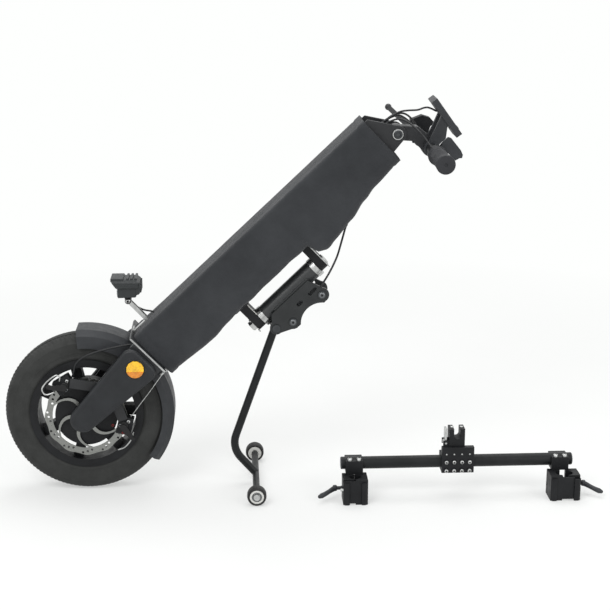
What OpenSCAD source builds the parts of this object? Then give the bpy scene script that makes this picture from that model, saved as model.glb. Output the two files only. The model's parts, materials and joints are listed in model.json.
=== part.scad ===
// Clip-on electric front-wheel drive for a wheelchair, with its chair-side docking bar.
// Millimetres, Z up, X towards the rider, Y away from the viewer's side.

/* [Stance] */
// Rake of the column above the floor, in degrees
column_tilt = 43.8; // [40:0.1:46]
// Floor distance from the wheel's axle to the stand's rollers
stand_reach = 370; // [350:1:385]

/* [Wheel] */
// Outside diameter of the tyre
tyre_d = 362; // [350:1:372]
// Width of the tyre
tyre_w = 66; // [58:1:70]
// Thickness of the tyre's casing
tyre_wall = 9; // [6:0.5:12]
// Bead seat diameter of the rim
rim_d = 240; // [234:1:246]
// Width of the rim between its flanges
rim_w = 60; // [54:1:62]
// Radial thickness of the rim's ring
rim_t = 13; // [9:0.5:16]
// Height of the rim's flanges over the bead seat
flange_h = 4; // [2:0.5:6]
// Thickness of the rim's flanges
flange_t = 3; // [2:0.5:4]
// Number of cast spokes
spoke_count = 7; // [5:1:9]
// Width of a spoke
spoke_w = 22; // [16:1:28]
// Thickness of a spoke along the axle
spoke_t = 26; // [18:1:34]
// Diameter of the motor's hub shell
hub_d = 136; // [128:1:138]
// Width of the motor's hub shell
hub_w = 64; // [56:1:66]
// Wall of the motor's hub shell
hub_wall = 6; // [4:0.5:8]
// Radial thickness of the magnets
magnet_t = 5; // [3:0.5:7]
// Length of the stator's stack along the axle
stack_l = 36; // [28:1:42]
// Diameter of the axle
axle_d = 15; // [12:0.5:16]
// Outside diameter of the wheel's bearings
bearing_d = 35; // [32:0.5:38]
// Width of the wheel's bearings
bearing_w = 11; // [9:0.5:12]

/* [Brake] */
// Diameter of the brake rotor
rotor_d = 180; // [172:1:184]
// Thickness of the brake rotor
rotor_t = 1.8; // [1.6:0.1:2.4]
// Distance of the rotor from the wheel's midplane
rotor_y = 48; // [47:0.5:49]
// Radial width of the rotor's braking band
rotor_band = 17; // [14:0.5:20]
// Bolt circle of the rotor
rotor_pcd = 44; // [42:0.5:46]
// Place of the front caliper round the axle, in degrees
front_caliper_angle = 121; // [112:1:128]
// Place of the rear caliper round the axle, in degrees
rear_caliper_angle = -14; // [-24:1:-8]
// Width of a caliper
caliper_w = 40; // [34:1:46]
// Length of a caliper's cable arm
caliper_arm_l = 34; // [26:1:40]

/* [Fork] */
// Inside distance between the fork blades
fork_gap = 128; // [127:0.5:132]
// Thickness of a fork blade
blade_t = 8; // [6:0.5:10]
// Radius of a blade's rounded lower end
blade_end_r = 24; // [20:0.5:26]
// Distance from the axle to the underside of the crown
crown_s = 197; // [196:0.5:206]
// Thickness of the crown plate
crown_t = 6; // [5:0.5:9]
// Depth of the crown in front of the axle's line
crown_front = 61; // [58:0.5:64]
// Depth of the crown behind the axle's line
crown_back = 46; // [44:0.5:52]
// Thickness of a fork cover
cover_t = 17; // [14:0.5:20]
// Wall of a fork cover
cover_wall = 3; // [2:0.5:4]
// Diameter of the side reflectors
reflector_d = 40; // [32:1:46]

/* [Fender] */
// Outside radius of the fender
fender_r = 192; // [189:0.5:195]
// Width of the fender
fender_w = 84; // [80:1:90]
// Thickness of the fender's skin
fender_t = 3; // [2:0.5:4]
// Inner radius of the fender's front skirt
skirt_front_r = 152; // [146:1:164]
// Inner radius of the fender's rear skirt
skirt_rear_r = 166; // [158:1:174]
// Angle where the fender starts at the front, in degrees
fender_front_angle = 95; // [88:1:104]
// Angle where the fender ends at the rear, in degrees
fender_rear_angle = -36; // [-44:1:-28]

/* [Column] */
// Height of the spine tube's section
spine_h = 40; // [34:1:44]
// Width of the spine tube's section
spine_w = 60; // [54:1:64]
// Wall of the spine tube
spine_wall = 3; // [2:0.5:4]
// Distance of the spine's upper face below the axle's line
spine_drop = 8; // [6:0.5:12]
// Distance from the axle to the top end of the spine
spine_top_s = 856; // [846:1:862]
// Length of the battery pack
battery_l = 400; // [360:5:420]
// Height of the battery pack
battery_h = 34; // [28:1:38]
// Width of the battery pack
battery_w = 96; // [84:1:100]
// Length of the motor controller
controller_l = 82; // [70:1:90]
// Width of the fabric sleeve
sleeve_w = 110; // [107:1:116]
// Height of the sleeve's front face over the axle's line, at its foot
sleeve_front = 52; // [46:0.5:54]
// Thickness of the fabric sleeve
sleeve_t = 2.4; // [1.6:0.2:3]
// How far the sleeve's top hem stands past the end of the spine
sleeve_over = 22; // [12:1:26]

/* [Docking head] */
// Distance of the steering axis below the axle's line
head_drop = 119; // [114:0.5:124]
// Distance from the axle to the lower head arm
head_low_s = 401; // [396:1:406]
// Thickness of the lower head arm
head_low_t = 20; // [16:0.5:21]
// Distance from the axle to the upper head arm
head_high_s = 590; // [584:1:596]
// Thickness of the upper head arm
head_high_t = 18; // [14:0.5:22]
// Width of the head arms
head_arm_w = 36; // [30:1:40]
// Diameter of the steering bolt
kingpin_d = 12; // [10:0.5:14]
// Diameter of the head tube
head_tube_d = 42; // [38:0.5:44]
// Inside distance between the docking plates
plate_gap = 50; // [46:0.5:54]
// Thickness of a docking plate
plate_t = 6; // [5:0.5:8]
// Distance between the two docking pins
dock_pin_span = 87; // [82:1:90]
// Diameter of the docking pins
dock_pin_d = 12; // [10:0.5:13]
// Radius of the docking plates' noses
nose_r = 16; // [14:0.5:17]

/* [Stand] */
// Diameter of the stand's leg
leg_d = 17.5; // [15:0.5:18]
// Radius of the bend in the leg
leg_bend_r = 55; // [45:1:60]
// Distance of the leg's corner in front of the rollers
knee_front = 54; // [48:1:58]
// Height of the leg's corner over the rollers' axle
knee_rise = 62; // [56:1:68]
// Diameter of the crossbar between the rollers
crossbar_d = 15; // [13:0.5:17]
// Outside width over the two rollers
roller_span = 284; // [270:1:288]
// Diameter of a roller
roller_d = 42; // [38:0.5:46]
// Width of a roller
roller_w = 24; // [20:0.5:26]

/* [Handlebar] */
// Distance of the bar from the stem's pivot, towards the rider
bar_back = 73; // [68:1:80]
// Distance of the bar below the stem's pivot
bar_drop = 32; // [26:1:38]
// Diameter of the bar
bar_d = 22.2; // [20:0.2:24]
// Length of the bar over its grips
bar_l = 464; // [452:2:470]
// Diameter of a grip
grip_d = 38; // [34:0.5:40]
// Length of a grip
grip_l = 112; // [104:1:114]
// Length of the display
display_l = 93; // [88:1:98]
// Width of the display
display_w = 64; // [54:1:70]
// Thickness of the display
display_t = 14; // [13:0.5:17]
// Reach of the brake lever's ball from the bar
lever_reach = 90; // [86:1:96]
// Diameter of the brake lever's ball
lever_ball_d = 15; // [12:0.5:17]

/* [Headlight] */
// Length of the headlight from lens to back
lamp_l = 50; // [44:1:52]
// Width of the headlight
lamp_w = 62; // [54:1:66]
// Height of the headlight
lamp_h = 43; // [38:1:46]

/* [Docking bar] */
// Length of the docking bar's tube
dock_l = 508; // [490:1:520]
// Diameter of the docking bar's tube
dock_d = 27.5; // [25:0.5:28]
// Distance from the axle to the middle of the docking bar
dock_x = 812; // [804:1:820]
// Distance of the docking bar's tube towards the viewer
dock_y = 88; // [84:1:92]
// Height of the docking bar's tube
dock_z = 76; // [75:0.5:80]
// Distance between the two chair clamps
clamp_span = 455; // [440:1:462]
// Width of a closed chair clamp
clamp_w = 54; // [50:0.5:58]
// Depth of a chair clamp
clamp_depth = 50; // [49:0.5:54]
// Height of a chair clamp
clamp_h = 57; // [52:0.5:58]
// Diameter of the chair tube that a clamp takes
chair_tube_d = 25.4; // [22:0.2:26]
// How far the right jaw stands open
right_jaw_open = 12; // [1:0.5:14]
// Width of the centre block
block_w = 71; // [62:1:76]
// Height of the centre block
block_h = 59; // [54:1:62]

/* [Hidden] */
$fn = 48;
// Overrun of every cut
cut = 1;
// Radial clearance of running fits
fit_gap = 0.06;
// Clearance between pieces of different bodies
body_gap = 0.4;
// Clearance between separate pieces of one body
seat_gap = 0.2;

// Stance
tyre_r = tyre_d / 2;
stand_gap = 1;
handle_over = 56;
origin_x = (dock_x + clamp_span / 2 + clamp_w / 2 + right_jaw_open + handle_over - tyre_r) / 2;
function to_floor(s, h) = [s * cos(column_tilt) - h * sin(column_tilt),
                           tyre_r + s * sin(column_tilt) + h * cos(column_tilt)];

// Wheel
rim_r = rim_d / 2;
rim_in_r = rim_r - rim_t;
rim_half = rim_w / 2 + flange_t;
tread_t = 12;
bead_gap = 1;
tyre_bead = rim_w / 2 - bead_gap;
tyre_steps = 20;
half_turn_angle = 180;
swell_share = 1.24;
round_share = 0.5;
crown_share = 0.7;
hub_r = hub_d / 2;
hub_half = hub_w / 2;
bearing_r = bearing_d / 2;
axle_r = axle_d / 2;
air_gap = 0.6;
magnet_out_r = hub_r - hub_wall;
stator_r = magnet_out_r - magnet_t - air_gap;
spoke_sink = 3;
valve_r = 4;
valve_l = 26;
valve_step = 180 / spoke_count;

// Brake rotor
rotor_r = rotor_d / 2;
rotor_hub_r = 29;
rotor_boss_r = 27;
rotor_face = rotor_y - rotor_t / 2;
rotor_arms = 6;
rotor_arm_w = 8;
rotor_sweep = 38;
wave_h = 3;
wave_count = 12;
rotor_hole_r = 2.6;
hole_turn = 7;
hole_step_share = 0.18;
rotor_bolt_r = 2.5;
rotor_bolt_head_r = 4.5;
rotor_bolt_head_h = 3;
rotor_bolt_sink = 6;

// Fork, crown and covers
blade_in = fork_gap / 2;
blade_out = blade_in + blade_t;
blade_front_share = 0.62;
blade_back_share = 0.7;
blade_top_front_share = 0.75;
blade_top_back_share = 0.8;
blade_waist_share = 0.7;
crown_end_s = crown_s + crown_t;
nut_r = 11;
nut_h = 10;
cover_end_r = 28;
cover_end_h = 5;
cover_corner_r = 22;
cover_crown_gap = 4;
cover_top_s = crown_s - cover_crown_gap;
cover_front = 51;
cover_back = 36;
cover_bevel = 6;
reflector_in = 29;
reflector_s = cover_top_s - reflector_in;
reflector_h = 8;
reflector_t = 5;
bezel_t = 2;
bezel_w = 2;

// Calipers
caliper_hub_gap = 2;
caliper_bridge = 9.5;
caliper_back = 12;
caliper_face = 10;
caliper_low_r = hub_r + caliper_hub_gap;
caliper_in = rotor_y - caliper_back;
caliper_out = rotor_y + caliper_face;
slot_half = 3.5;
pad_gap = 0.4;
pad_w_share = 0.7;
pad_low_share = 0.08;
bridge_gap = 3.5;
bridge_r = rotor_r + bridge_gap;
caliper_high_r = bridge_r + caliper_bridge;
adapter_w = 22;
adapter_low_r = 64;
arm_t = 4;
arm_boss_r = 8;
arm_tip_r = 4;
arm_lift = 2;
arm_pivot_rise = 14;
arm_y = blade_in + arm_lift;
arm_pivot_r = caliper_low_r + arm_pivot_rise;
arm_pivot_d = 8;
front_arm_turn = 55;
rear_arm_turn = -40;
front_adapter_share = 0.47;
rear_adapter_share = 0.44;
front_adapter_l = 88;
rear_adapter_l = 62;

// Fender
fender_half = fender_w / 2;
fender_round = 12;
fender_split_angle = 52;
fender_bolt_r = 4;
fender_bolt_y = 18;

// Column
spine_low = spine_drop + spine_h;
pack_gap = 13;
controller_h = 30;
controller_w = 90;
controller_s = crown_end_s + pack_gap;
battery_s = controller_s + controller_l + pack_gap;

// Frames
module place() translate([-origin_x, 0, 0]) children();
module at_axle() place() translate([0, 0, tyre_r]) children();
module on_wheel() at_axle() rotate([90, 0, 0]) children();
module in_column() at_axle() rotate([0, -column_tilt, 0]) children();
module slab(y_far, t) translate([0, y_far, 0]) rotate([90, 0, 0]) linear_extrude(t) children();
module block(low, high) translate(low) cube(high - low);
module bar_y(r, y_low, y_high) translate([0, y_high, 0]) rotate([90, 0, 0])
  cylinder(r = r, h = y_high - y_low);
module bar_x(r, x_low, x_high) translate([x_low, 0, 0]) rotate([0, 90, 0])
  cylinder(r = r, h = x_high - x_low);
module ring(r_out, r_in, z_low, z_high) translate([0, 0, z_low]) difference() {
  cylinder(r = r_out, h = z_high - z_low);
  translate([0, 0, -cut]) cylinder(r = r_in, h = z_high - z_low + 2 * cut);
}
// A straight rod between two points of the XY plane
module rod(p, q, r) translate(p) rotate(atan2(q[1] - p[1], q[0] - p[0])) rotate([0, 90, 0])
  cylinder(r = r, h = norm(q - p));

// A cable: one tube of eight sides swept along its route
function unit(v) = v / norm(v);
function heading(path, i) = unit(path[min(i + 1, len(path) - 1)] - path[max(i - 1, 0)]);
function across(d) = unit(cross(d, abs(d[1]) < 0.8 ? [0, 1, 0] : [1, 0, 0]));
function cable_ring(path, i, r) = let (d = heading(path, i), a = across(d), b = cross(d, a))
  [for (k = [0:7]) path[i] + r * (cos(45 * k) * a + sin(45 * k) * b)];
module cable(path, r) {
  last = len(path) - 1;
  polyhedron(
    [for (i = [0:last]) each cable_ring(path, i, r)],
    concat(
      [for (k = [1:6]) [0, k, k + 1]],
      [for (k = [1:6]) [8 * last, 8 * last + k + 1, 8 * last + k]],
      [for (i = [0:last - 1], k = [0:7]) let (a = 8 * i + k, b = 8 * i + (k + 1) % 8)
        each [[a, b + 8, b], [a, a + 8, b + 8]]]));
}

// Wheel
function tyre_side(bead, half, low_r, high_r) = [for (k = [0:tyre_steps])
  let (t = half_turn_angle * k / tyre_steps)
  [low_r + (high_r - low_r) * pow(sin(t), crown_share),
   -(bead + (half * swell_share - bead) * sin(t)) * sign(cos(t)) * pow(abs(cos(t)), round_share)]];
module tyre() color("#3c3d3c") on_wheel() rotate_extrude($fn = 96) polygon(concat(
  tyre_side(tyre_bead, tyre_w / 2, rim_r, tyre_r),
  [for (k = [tyre_steps:-1:0])
    tyre_side(tyre_bead - tyre_wall, tyre_w / 2 - tyre_wall, rim_r, tyre_r - tread_t)[k]]));

module wheel_rim() color("#26272a") on_wheel() {
  rotate_extrude($fn = 96) polygon([
    [rim_in_r, -rim_half], [rim_r + flange_h, -rim_half], [rim_r + flange_h, flange_t - rim_half],
    [rim_r, flange_t - rim_half], [rim_r, rim_half - flange_t], [rim_r + flange_h, rim_half - flange_t],
    [rim_r + flange_h, rim_half], [rim_in_r, rim_half]]);
  rotate_extrude($fn = 96) polygon([
    [bearing_r, -hub_half], [hub_r, -hub_half], [hub_r, hub_half], [magnet_out_r, hub_half],
    [magnet_out_r, bearing_w - hub_half], [bearing_r, bearing_w - hub_half]]);
  for (k = [0:spoke_count - 1]) rotate(360 * k / spoke_count)
    block([hub_r - spoke_sink, -spoke_w / 2, -spoke_t / 2],
      [rim_in_r + spoke_sink, spoke_w / 2, spoke_t / 2]);
  rotate(valve_step) bar_x(valve_r, rim_in_r - valve_l, rim_in_r + spoke_sink);
}

module rotor_bolt_spots() for (k = [0:rotor_arms - 1]) rotate(360 * k / rotor_arms)
  translate([rotor_pcd / 2, 0, 0]) children();

module motor_cover() color("#2b2c2f") on_wheel() difference() {
  rotate_extrude($fn = 96) polygon([
    [bearing_r, hub_half], [hub_r, hub_half], [hub_r, hub_half + bearing_w],
    [rotor_boss_r, hub_half + bearing_w], [rotor_boss_r, rotor_face], [bearing_r, rotor_face]]);
  rotor_bolt_spots() translate([0, 0, rotor_face - rotor_bolt_sink])
    cylinder(r = rotor_bolt_r, h = rotor_bolt_sink + cut);
}

module magnet_ring() color("#7c7f84") on_wheel()
  ring(magnet_out_r, magnet_out_r - magnet_t, -stack_l / 2, stack_l / 2);

module wheel_bearings() color("#b9bcc0") on_wheel() for (z = [-hub_half, hub_half])
  ring(bearing_r, axle_r + fit_gap, z, z + bearing_w);

function wave_r(a) = rotor_r - wave_h * (1 - cos(wave_count * a)) / 2;
arm_run = rotor_r - rotor_band - rotor_hub_r + 2 * cut;
function arm_edge(side, n) = [for (k = [0:n]) let (r = rotor_hub_r - cut + arm_run * k / n,
  a = rotor_sweep * pow(k / n, 2) + side * asin(rotor_arm_w / 2 / r)) r * [cos(a), sin(a)]];
module rotor_disc() color("#a9aaa7") on_wheel() translate([0, 0, rotor_face]) linear_extrude(rotor_t) {
  difference() {
    polygon([for (a = [0:2:358]) wave_r(a) * [cos(a), sin(a)]]);
    circle(r = rotor_r - rotor_band, $fn = 96);
    for (k = [0:wave_count - 1], j = [-1:1]) rotate(360 * k / wave_count + hole_turn * j)
      translate([rotor_r - rotor_band / 2 - rotor_band * hole_step_share * j, 0])
        circle(r = rotor_hole_r, $fn = 24);
  }
  difference() {
    circle(r = rotor_hub_r);
    circle(r = bearing_r);
    rotor_bolt_spots() circle(r = rotor_bolt_r + seat_gap, $fn = 24);
  }
  for (k = [0:rotor_arms - 1]) rotate(360 * k / rotor_arms)
    polygon(concat(arm_edge(-1, 8), [for (k = [8:-1:0]) arm_edge(1, 8)[k]]));
}

module rotor_bolts() color("#c9cac8") on_wheel() rotor_bolt_spots() {
  translate([0, 0, rotor_face - rotor_bolt_sink])
    cylinder(r = rotor_bolt_r, h = rotor_bolt_sink + rotor_t + 2 * seat_gap);
  translate([0, 0, rotor_face + rotor_t + seat_gap]) cylinder(r = rotor_bolt_head_r, h = rotor_bolt_head_h);
}

// Axle and motor
module axle_rod() color("#b4b6b8") on_wheel() translate([0, 0, -blade_out - nut_h])
  cylinder(r = axle_r, h = 2 * (blade_out + nut_h));
module axle_nuts() color("#c2c4c6") on_wheel() for (z = [-blade_out - nut_h, blade_out])
  translate([0, 0, z]) difference() {
  cylinder(r = nut_r, h = nut_h, $fn = 6);
  translate([0, 0, -cut]) cylinder(r = axle_r + seat_gap, h = nut_h + 2 * cut);
}
module motor_stator() color("#a8673a") on_wheel() ring(stator_r, axle_r, -stack_l / 2, stack_l / 2);

// Fork
module blade_outline() difference() {
  union() {
    circle(r = blade_end_r);
    polygon([[0, blade_end_r], [crown_s * blade_front_share, crown_front * blade_top_front_share],
             [crown_s, crown_front * blade_top_front_share], [crown_s, -crown_back * blade_top_back_share],
             [crown_s * blade_back_share, -crown_back * blade_waist_share], [0, -blade_end_r]]);
  }
  circle(r = axle_r);
}
module fork_blade(side) color("#232427") in_column()
  slab(side > 0 ? blade_out : -blade_in, blade_t) blade_outline();

module crown_plate() color("#b8babb") in_column()
  block([crown_s, -blade_out, -crown_back], [crown_end_s, blade_out, crown_front]);

module cover_outline(inset) hull() {
  translate([0, cover_end_h]) circle(r = cover_end_r - inset, $fn = 32);
  for (h = [cover_front - cover_corner_r, cover_corner_r - cover_back])
    translate([cover_top_s - cover_corner_r, h]) circle(r = cover_corner_r - inset, $fn = 32);
}
module fork_cover(side) color("#36383b") in_column() mirror([0, side > 0 ? 1 : 0, 0]) difference() {
  union() {
    hull() {
      slab(-blade_out, cover_t - cover_bevel) cover_outline(0);
      slab(-blade_out, cover_t) cover_outline(cover_bevel);
    }
    translate([reflector_s, -blade_out, reflector_h])
      bar_y(reflector_d / 2 + bezel_w, -cover_t - bezel_t, cut - cover_t);
  }
  translate([0, cut, 0]) slab(-blade_out, cover_t - cover_wall + cut)
    cover_outline(cover_bevel + cover_wall);
}

module side_reflectors() color("#e5b93d") in_column() for (side = [-1, 1]) mirror([0, side > 0 ? 1 : 0, 0])
  translate([reflector_s, -blade_out - cover_t - bezel_t, reflector_h]) {
    rotate([90, 0, 0]) cylinder(r = reflector_d / 2, h = reflector_t);
  }

// Calipers: local X is radial, Y tangential and Z towards the viewer
module at_caliper(angle) on_wheel() rotate(angle) children();
module caliper(angle) color("#1d1e20") at_caliper(angle) difference() {
  block([caliper_low_r, -caliper_w / 2, caliper_in], [caliper_high_r, caliper_w / 2, caliper_out]);
  block([caliper_low_r - cut, -caliper_w / 2 - cut, rotor_y - slot_half],
        [bridge_r, caliper_w / 2 + cut, rotor_y + slot_half]);
  translate([arm_pivot_r, 0, rotor_y + slot_half]) cylinder(r = arm_pivot_d / 2, h = caliper_out);
}

pad_in = rotor_t / 2 + pad_gap;
module brake_pads() color("#5a4a42")
  for (angle = [front_caliper_angle, rear_caliper_angle]) at_caliper(angle)
  for (z = [rotor_y - slot_half + seat_gap, rotor_y + pad_in])
    block([caliper_low_r + rotor_band * pad_low_share, -caliper_w * pad_w_share / 2, z],
          [bridge_r - cut, caliper_w * pad_w_share / 2, z + slot_half - pad_in - seat_gap]);

module adapter(angle, share, l) at_caliper(column_tilt + (angle - column_tilt) * share)
  block([adapter_low_r, -l / 2, caliper_out], [adapter_low_r + adapter_w, l / 2, blade_in]);
module caliper_adapters() color("#8d8f90") difference() {
  union() {
    adapter(front_caliper_angle, front_adapter_share, front_adapter_l);
    adapter(rear_caliper_angle, rear_adapter_share, rear_adapter_l);
  }
  for (angle = [front_caliper_angle, rear_caliper_angle]) at_caliper(angle)
    translate([arm_pivot_r, 0, caliper_out - cut])
      cylinder(r = arm_boss_r, h = blade_in - caliper_out + 2 * cut);
}

module caliper_arm(angle, turn) color("#c4c5c4") at_caliper(angle) translate([arm_pivot_r, 0, 0]) {
  translate([0, 0, rotor_y + slot_half + body_gap])
    cylinder(r = arm_pivot_d / 2 - fit_gap, h = arm_y + arm_t - rotor_y - slot_half - body_gap);
  translate([0, 0, arm_y]) linear_extrude(arm_t) rotate(turn) {
    circle(r = arm_boss_r - cut);
    polygon([[0, arm_boss_r - cut], [caliper_arm_l, arm_tip_r], [caliper_arm_l, -arm_tip_r],
      [0, cut - arm_boss_r]]);
    translate([caliper_arm_l, 0]) circle(r = arm_tip_r);
  }
}
module front_caliper_arm() caliper_arm(front_caliper_angle, front_arm_turn);
module rear_caliper_arm() caliper_arm(rear_caliper_angle, rear_arm_turn);

// Fender
module fender_arc(from, to, skirt_r) rotate(from) rotate_extrude(angle = to - from, $fn = 96) polygon([
  [skirt_r, -fender_half], [fender_r - fender_round, -fender_half], [fender_r, fender_round - fender_half],
  [fender_r, fender_half - fender_round], [fender_r - fender_round, fender_half], [skirt_r, fender_half],
  [skirt_r, fender_half - fender_t], [fender_r - fender_round, fender_half - fender_t],
  [fender_r - fender_t, fender_half - fender_round], [fender_r - fender_t, fender_round - fender_half],
  [fender_r - fender_round, fender_t - fender_half], [skirt_r, fender_t - fender_half]]);
module fender() color("#3d4042") on_wheel() {
  fender_arc(fender_split_angle, fender_front_angle, skirt_front_r);
  fender_arc(fender_rear_angle, fender_split_angle, skirt_rear_r);
}
module fender_bolts() color("#b9bbbc") in_column() for (y = [-fender_bolt_y, fender_bolt_y])
  translate([0, y, 0]) bar_x(fender_bolt_r, fender_r, crown_s);

// Column
module spine_tube() color("#2a2b2e") in_column() difference() {
  block([crown_end_s, -spine_w / 2, -spine_low], [spine_top_s, spine_w / 2, -spine_drop]);
  block([crown_end_s - cut, spine_wall - spine_w / 2, spine_wall - spine_low],
        [spine_top_s + cut, spine_w / 2 - spine_wall, -spine_drop - spine_wall]);
}
module battery_pack() color("#20324a") in_column()
  block([battery_s, -battery_w / 2, -spine_drop],
    [battery_s + battery_l, battery_w / 2, battery_h - spine_drop]);
module controller() color("#74787c") in_column()
  block([controller_s, -controller_w / 2, -spine_drop],
    [controller_s + controller_l, controller_w / 2, controller_h - spine_drop]);

// The sleeve's outline along the column: shares of its length and of its depth behind the axle's line
sleeve_low_s = crown_end_s;
sleeve_top_s = spine_top_s + sleeve_over;
sleeve_l = sleeve_top_s - sleeve_low_s;
sleeve_depth = 100;
sleeve_shares = [[0, 0.63], [0.18, 0.71], [0.28, 0.655], [0.6, 0.65], [0.642, 1], [0.685, 0.97],
                 [0.76, 0.9], [0.835, 0.79], [0.885, 0.73], [1, 0.685]];
sleeve_last = len(sleeve_shares) - 1;
sleeve_top_share = 0.885;
function sleeve_edge(inset) = [for (p = sleeve_shares)
  [sleeve_low_s + sleeve_l * p[0], inset - sleeve_depth * p[1]]];
module sleeve_outline(inset, over) polygon(concat(
  [[sleeve_low_s - over, sleeve_front - inset]], [[sleeve_low_s - over, sleeve_edge(inset)[0][1]]],
  sleeve_edge(inset),
  [[sleeve_top_s + over, sleeve_edge(inset)[sleeve_last][1]]],
  [[sleeve_top_s + over, sleeve_front * sleeve_top_share - inset]]));
arm_slit = 0.6;
module fabric_sleeve() color("#494b4e") in_column() difference() {
  slab(sleeve_w / 2, sleeve_w) sleeve_outline(0, 0);
  slab(sleeve_w / 2 - sleeve_t, sleeve_w - 2 * sleeve_t) sleeve_outline(sleeve_t, cut);
  for (a = [[head_low_s, head_low_t], [head_high_s, head_high_t]])
    block([a[0] - arm_slit, -head_arm_w / 2 - arm_slit, -head_drop],
          [a[0] + a[1] + arm_slit, head_arm_w / 2 + arm_slit, -spine_low]);
}

// Docking head
head_end_r = 17;
kingpin_r = kingpin_d / 2;
kingpin_nut_h = 9;
kingpin_nut_r = 12;
washer_h = 2;
washer_r = 14;
module head_arm(s, t) color("#232427") in_column() difference() {
  union() {
    block([s, -head_arm_w / 2, -head_drop], [s + t, head_arm_w / 2, -spine_low]);
    translate([0, 0, -head_drop]) bar_x(head_end_r, s, s + t);
  }
  translate([0, 0, -head_drop]) bar_x(kingpin_r, s - cut, s + t + cut);
}
module head_arms() {
  head_arm(head_low_s, head_low_t);
  head_arm(head_high_s, head_high_t);
}

module kingpin() color("#c0c2c3") in_column() translate([0, 0, -head_drop])
  bar_x(kingpin_r, head_low_s - washer_h - kingpin_nut_h,
    head_high_s + head_high_t + washer_h + kingpin_nut_h);
module kingpin_nuts() color("#cfd0d0") in_column() translate([0, 0, -head_drop])
  for (s = [head_low_s - washer_h - kingpin_nut_h, head_high_s + head_high_t])
    translate([s, 0, 0]) difference() {
    union() {
      bar_x(washer_r, s > head_low_s ? 0 : kingpin_nut_h,
        s > head_low_s ? washer_h : kingpin_nut_h + washer_h);
      translate([s > head_low_s ? washer_h : 0, 0, 0]) rotate([0, 90, 0])
        cylinder(r = kingpin_nut_r, h = kingpin_nut_h, $fn = 6);
    }
    bar_x(kingpin_r + seat_gap, -cut, kingpin_nut_h + washer_h + cut);
  }

cup_l = 12;
cup_r = 23;
head_tube_r = head_tube_d / 2;
head_tube_low = head_low_s + head_low_t + body_gap;
head_tube_high = head_high_s - body_gap;
head_bearing_r = 15;
module in_head() in_column() translate([0, 0, -head_drop]) children();
module head_cups() color("#bfc1c2") in_head()
  for (s = [head_tube_low, head_tube_high - cup_l]) difference() {
  bar_x(cup_r, s, s + cup_l);
  bar_x(head_bearing_r, s - cut, s + cup_l + cut);
}
module head_bearings() color("#8f9295") in_head()
  for (s = [head_tube_low, head_tube_high - cup_l]) difference() {
  bar_x(head_bearing_r - seat_gap, s, s + cup_l);
  bar_x(kingpin_r + fit_gap, s - cut, s + cup_l + cut);
}

// Docking bracket: two plates on a web under the head tube
plate_in = plate_gap / 2;
plate_out = plate_in + plate_t;
dock_pin_shift = 6;
dock_pin_mid = (head_tube_low + head_tube_high) / 2 + dock_pin_shift;
dock_pin_low = dock_pin_mid - dock_pin_span / 2;
dock_pin_high = dock_pin_mid + dock_pin_span / 2;
dock_pin_step = 49;
dock_pin_drop = head_drop + dock_pin_step;
saddle_r = 46;
saddle_drop = dock_pin_drop + saddle_r;
stand_step = 11;
stand_low = 34;
stand_s = head_low_s + head_low_t + stand_step;
stand_drop = head_drop + stand_low;
stand_boss_r = 14;
plate_root_step = 4;
plate_root = head_drop + plate_root_step;
slot_r = 4;
slot_step = 29;
slot_far_share = 1.6;
slot_drop = head_drop + slot_step;
module plate_outline() difference() {
  union() {
    translate([dock_pin_low, -dock_pin_drop]) circle(r = nose_r);
    translate([dock_pin_high, -dock_pin_drop]) circle(r = nose_r);
    translate([stand_s, -stand_drop]) circle(r = stand_boss_r);
    polygon([[stand_s, stand_boss_r - stand_drop], [stand_s + stand_boss_r, -plate_root],
             [dock_pin_high, -plate_root],
             [dock_pin_high + nose_r, -dock_pin_drop], [dock_pin_high, -dock_pin_drop - nose_r],
             [dock_pin_low, -dock_pin_drop - nose_r], [stand_s, -stand_drop - stand_boss_r]]);
  }
  translate([dock_pin_mid, -saddle_drop]) circle(r = saddle_r, $fn = 96);
  for (s = [dock_pin_low, dock_pin_high]) translate([s, -dock_pin_drop]) circle(r = dock_pin_d / 2);
  translate([stand_s, -stand_drop]) circle(r = stand_bolt_r);
  for (p = [[dock_pin_mid - nose_r / 2, 1], [dock_pin_mid + nose_r * slot_far_share, 2]])
    translate([p[0], -slot_drop]) {
    circle(r = slot_r);
    translate([0, -slot_r]) square([2 * slot_r * p[1], 2 * slot_r]);
    translate([2 * slot_r * p[1], 0]) circle(r = slot_r);
  }
}
module dock_plates() color("#3a3c3d") in_column() for (y = [-plate_in, plate_out])
  slab(y, plate_t) plate_outline();

web_step = 22;
web_gap = 10;
web_drop = head_drop + web_step;
web_low_s = stand_s + stand_boss_r + web_gap;
module head_tube() color("#1f2022") in_column() difference() {
  union() {
    translate([0, 0, -head_drop]) bar_x(head_tube_r, head_tube_low + cup_l, head_tube_high - cup_l);
    block([web_low_s, -plate_in, -web_drop], [dock_pin_high, plate_in, -head_drop]);
  }
  translate([0, 0, -head_drop]) bar_x(head_bearing_r, head_tube_low, head_tube_high);
}
pin_head_r = 9;
pin_head_h = 3;
module pin_with_heads(r, head_r, half) {
  bar_y(r, -half, half);
  for (side = [-1, 1])
    bar_y(head_r, side > 0 ? half : -half - pin_head_h, side > 0 ? half + pin_head_h : -half);
}
module dock_pins() color("#6f7274") in_column() for (s = [dock_pin_low, dock_pin_high])
  translate([s, 0, -dock_pin_drop]) pin_with_heads(dock_pin_d / 2, pin_head_r, plate_out);

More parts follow.
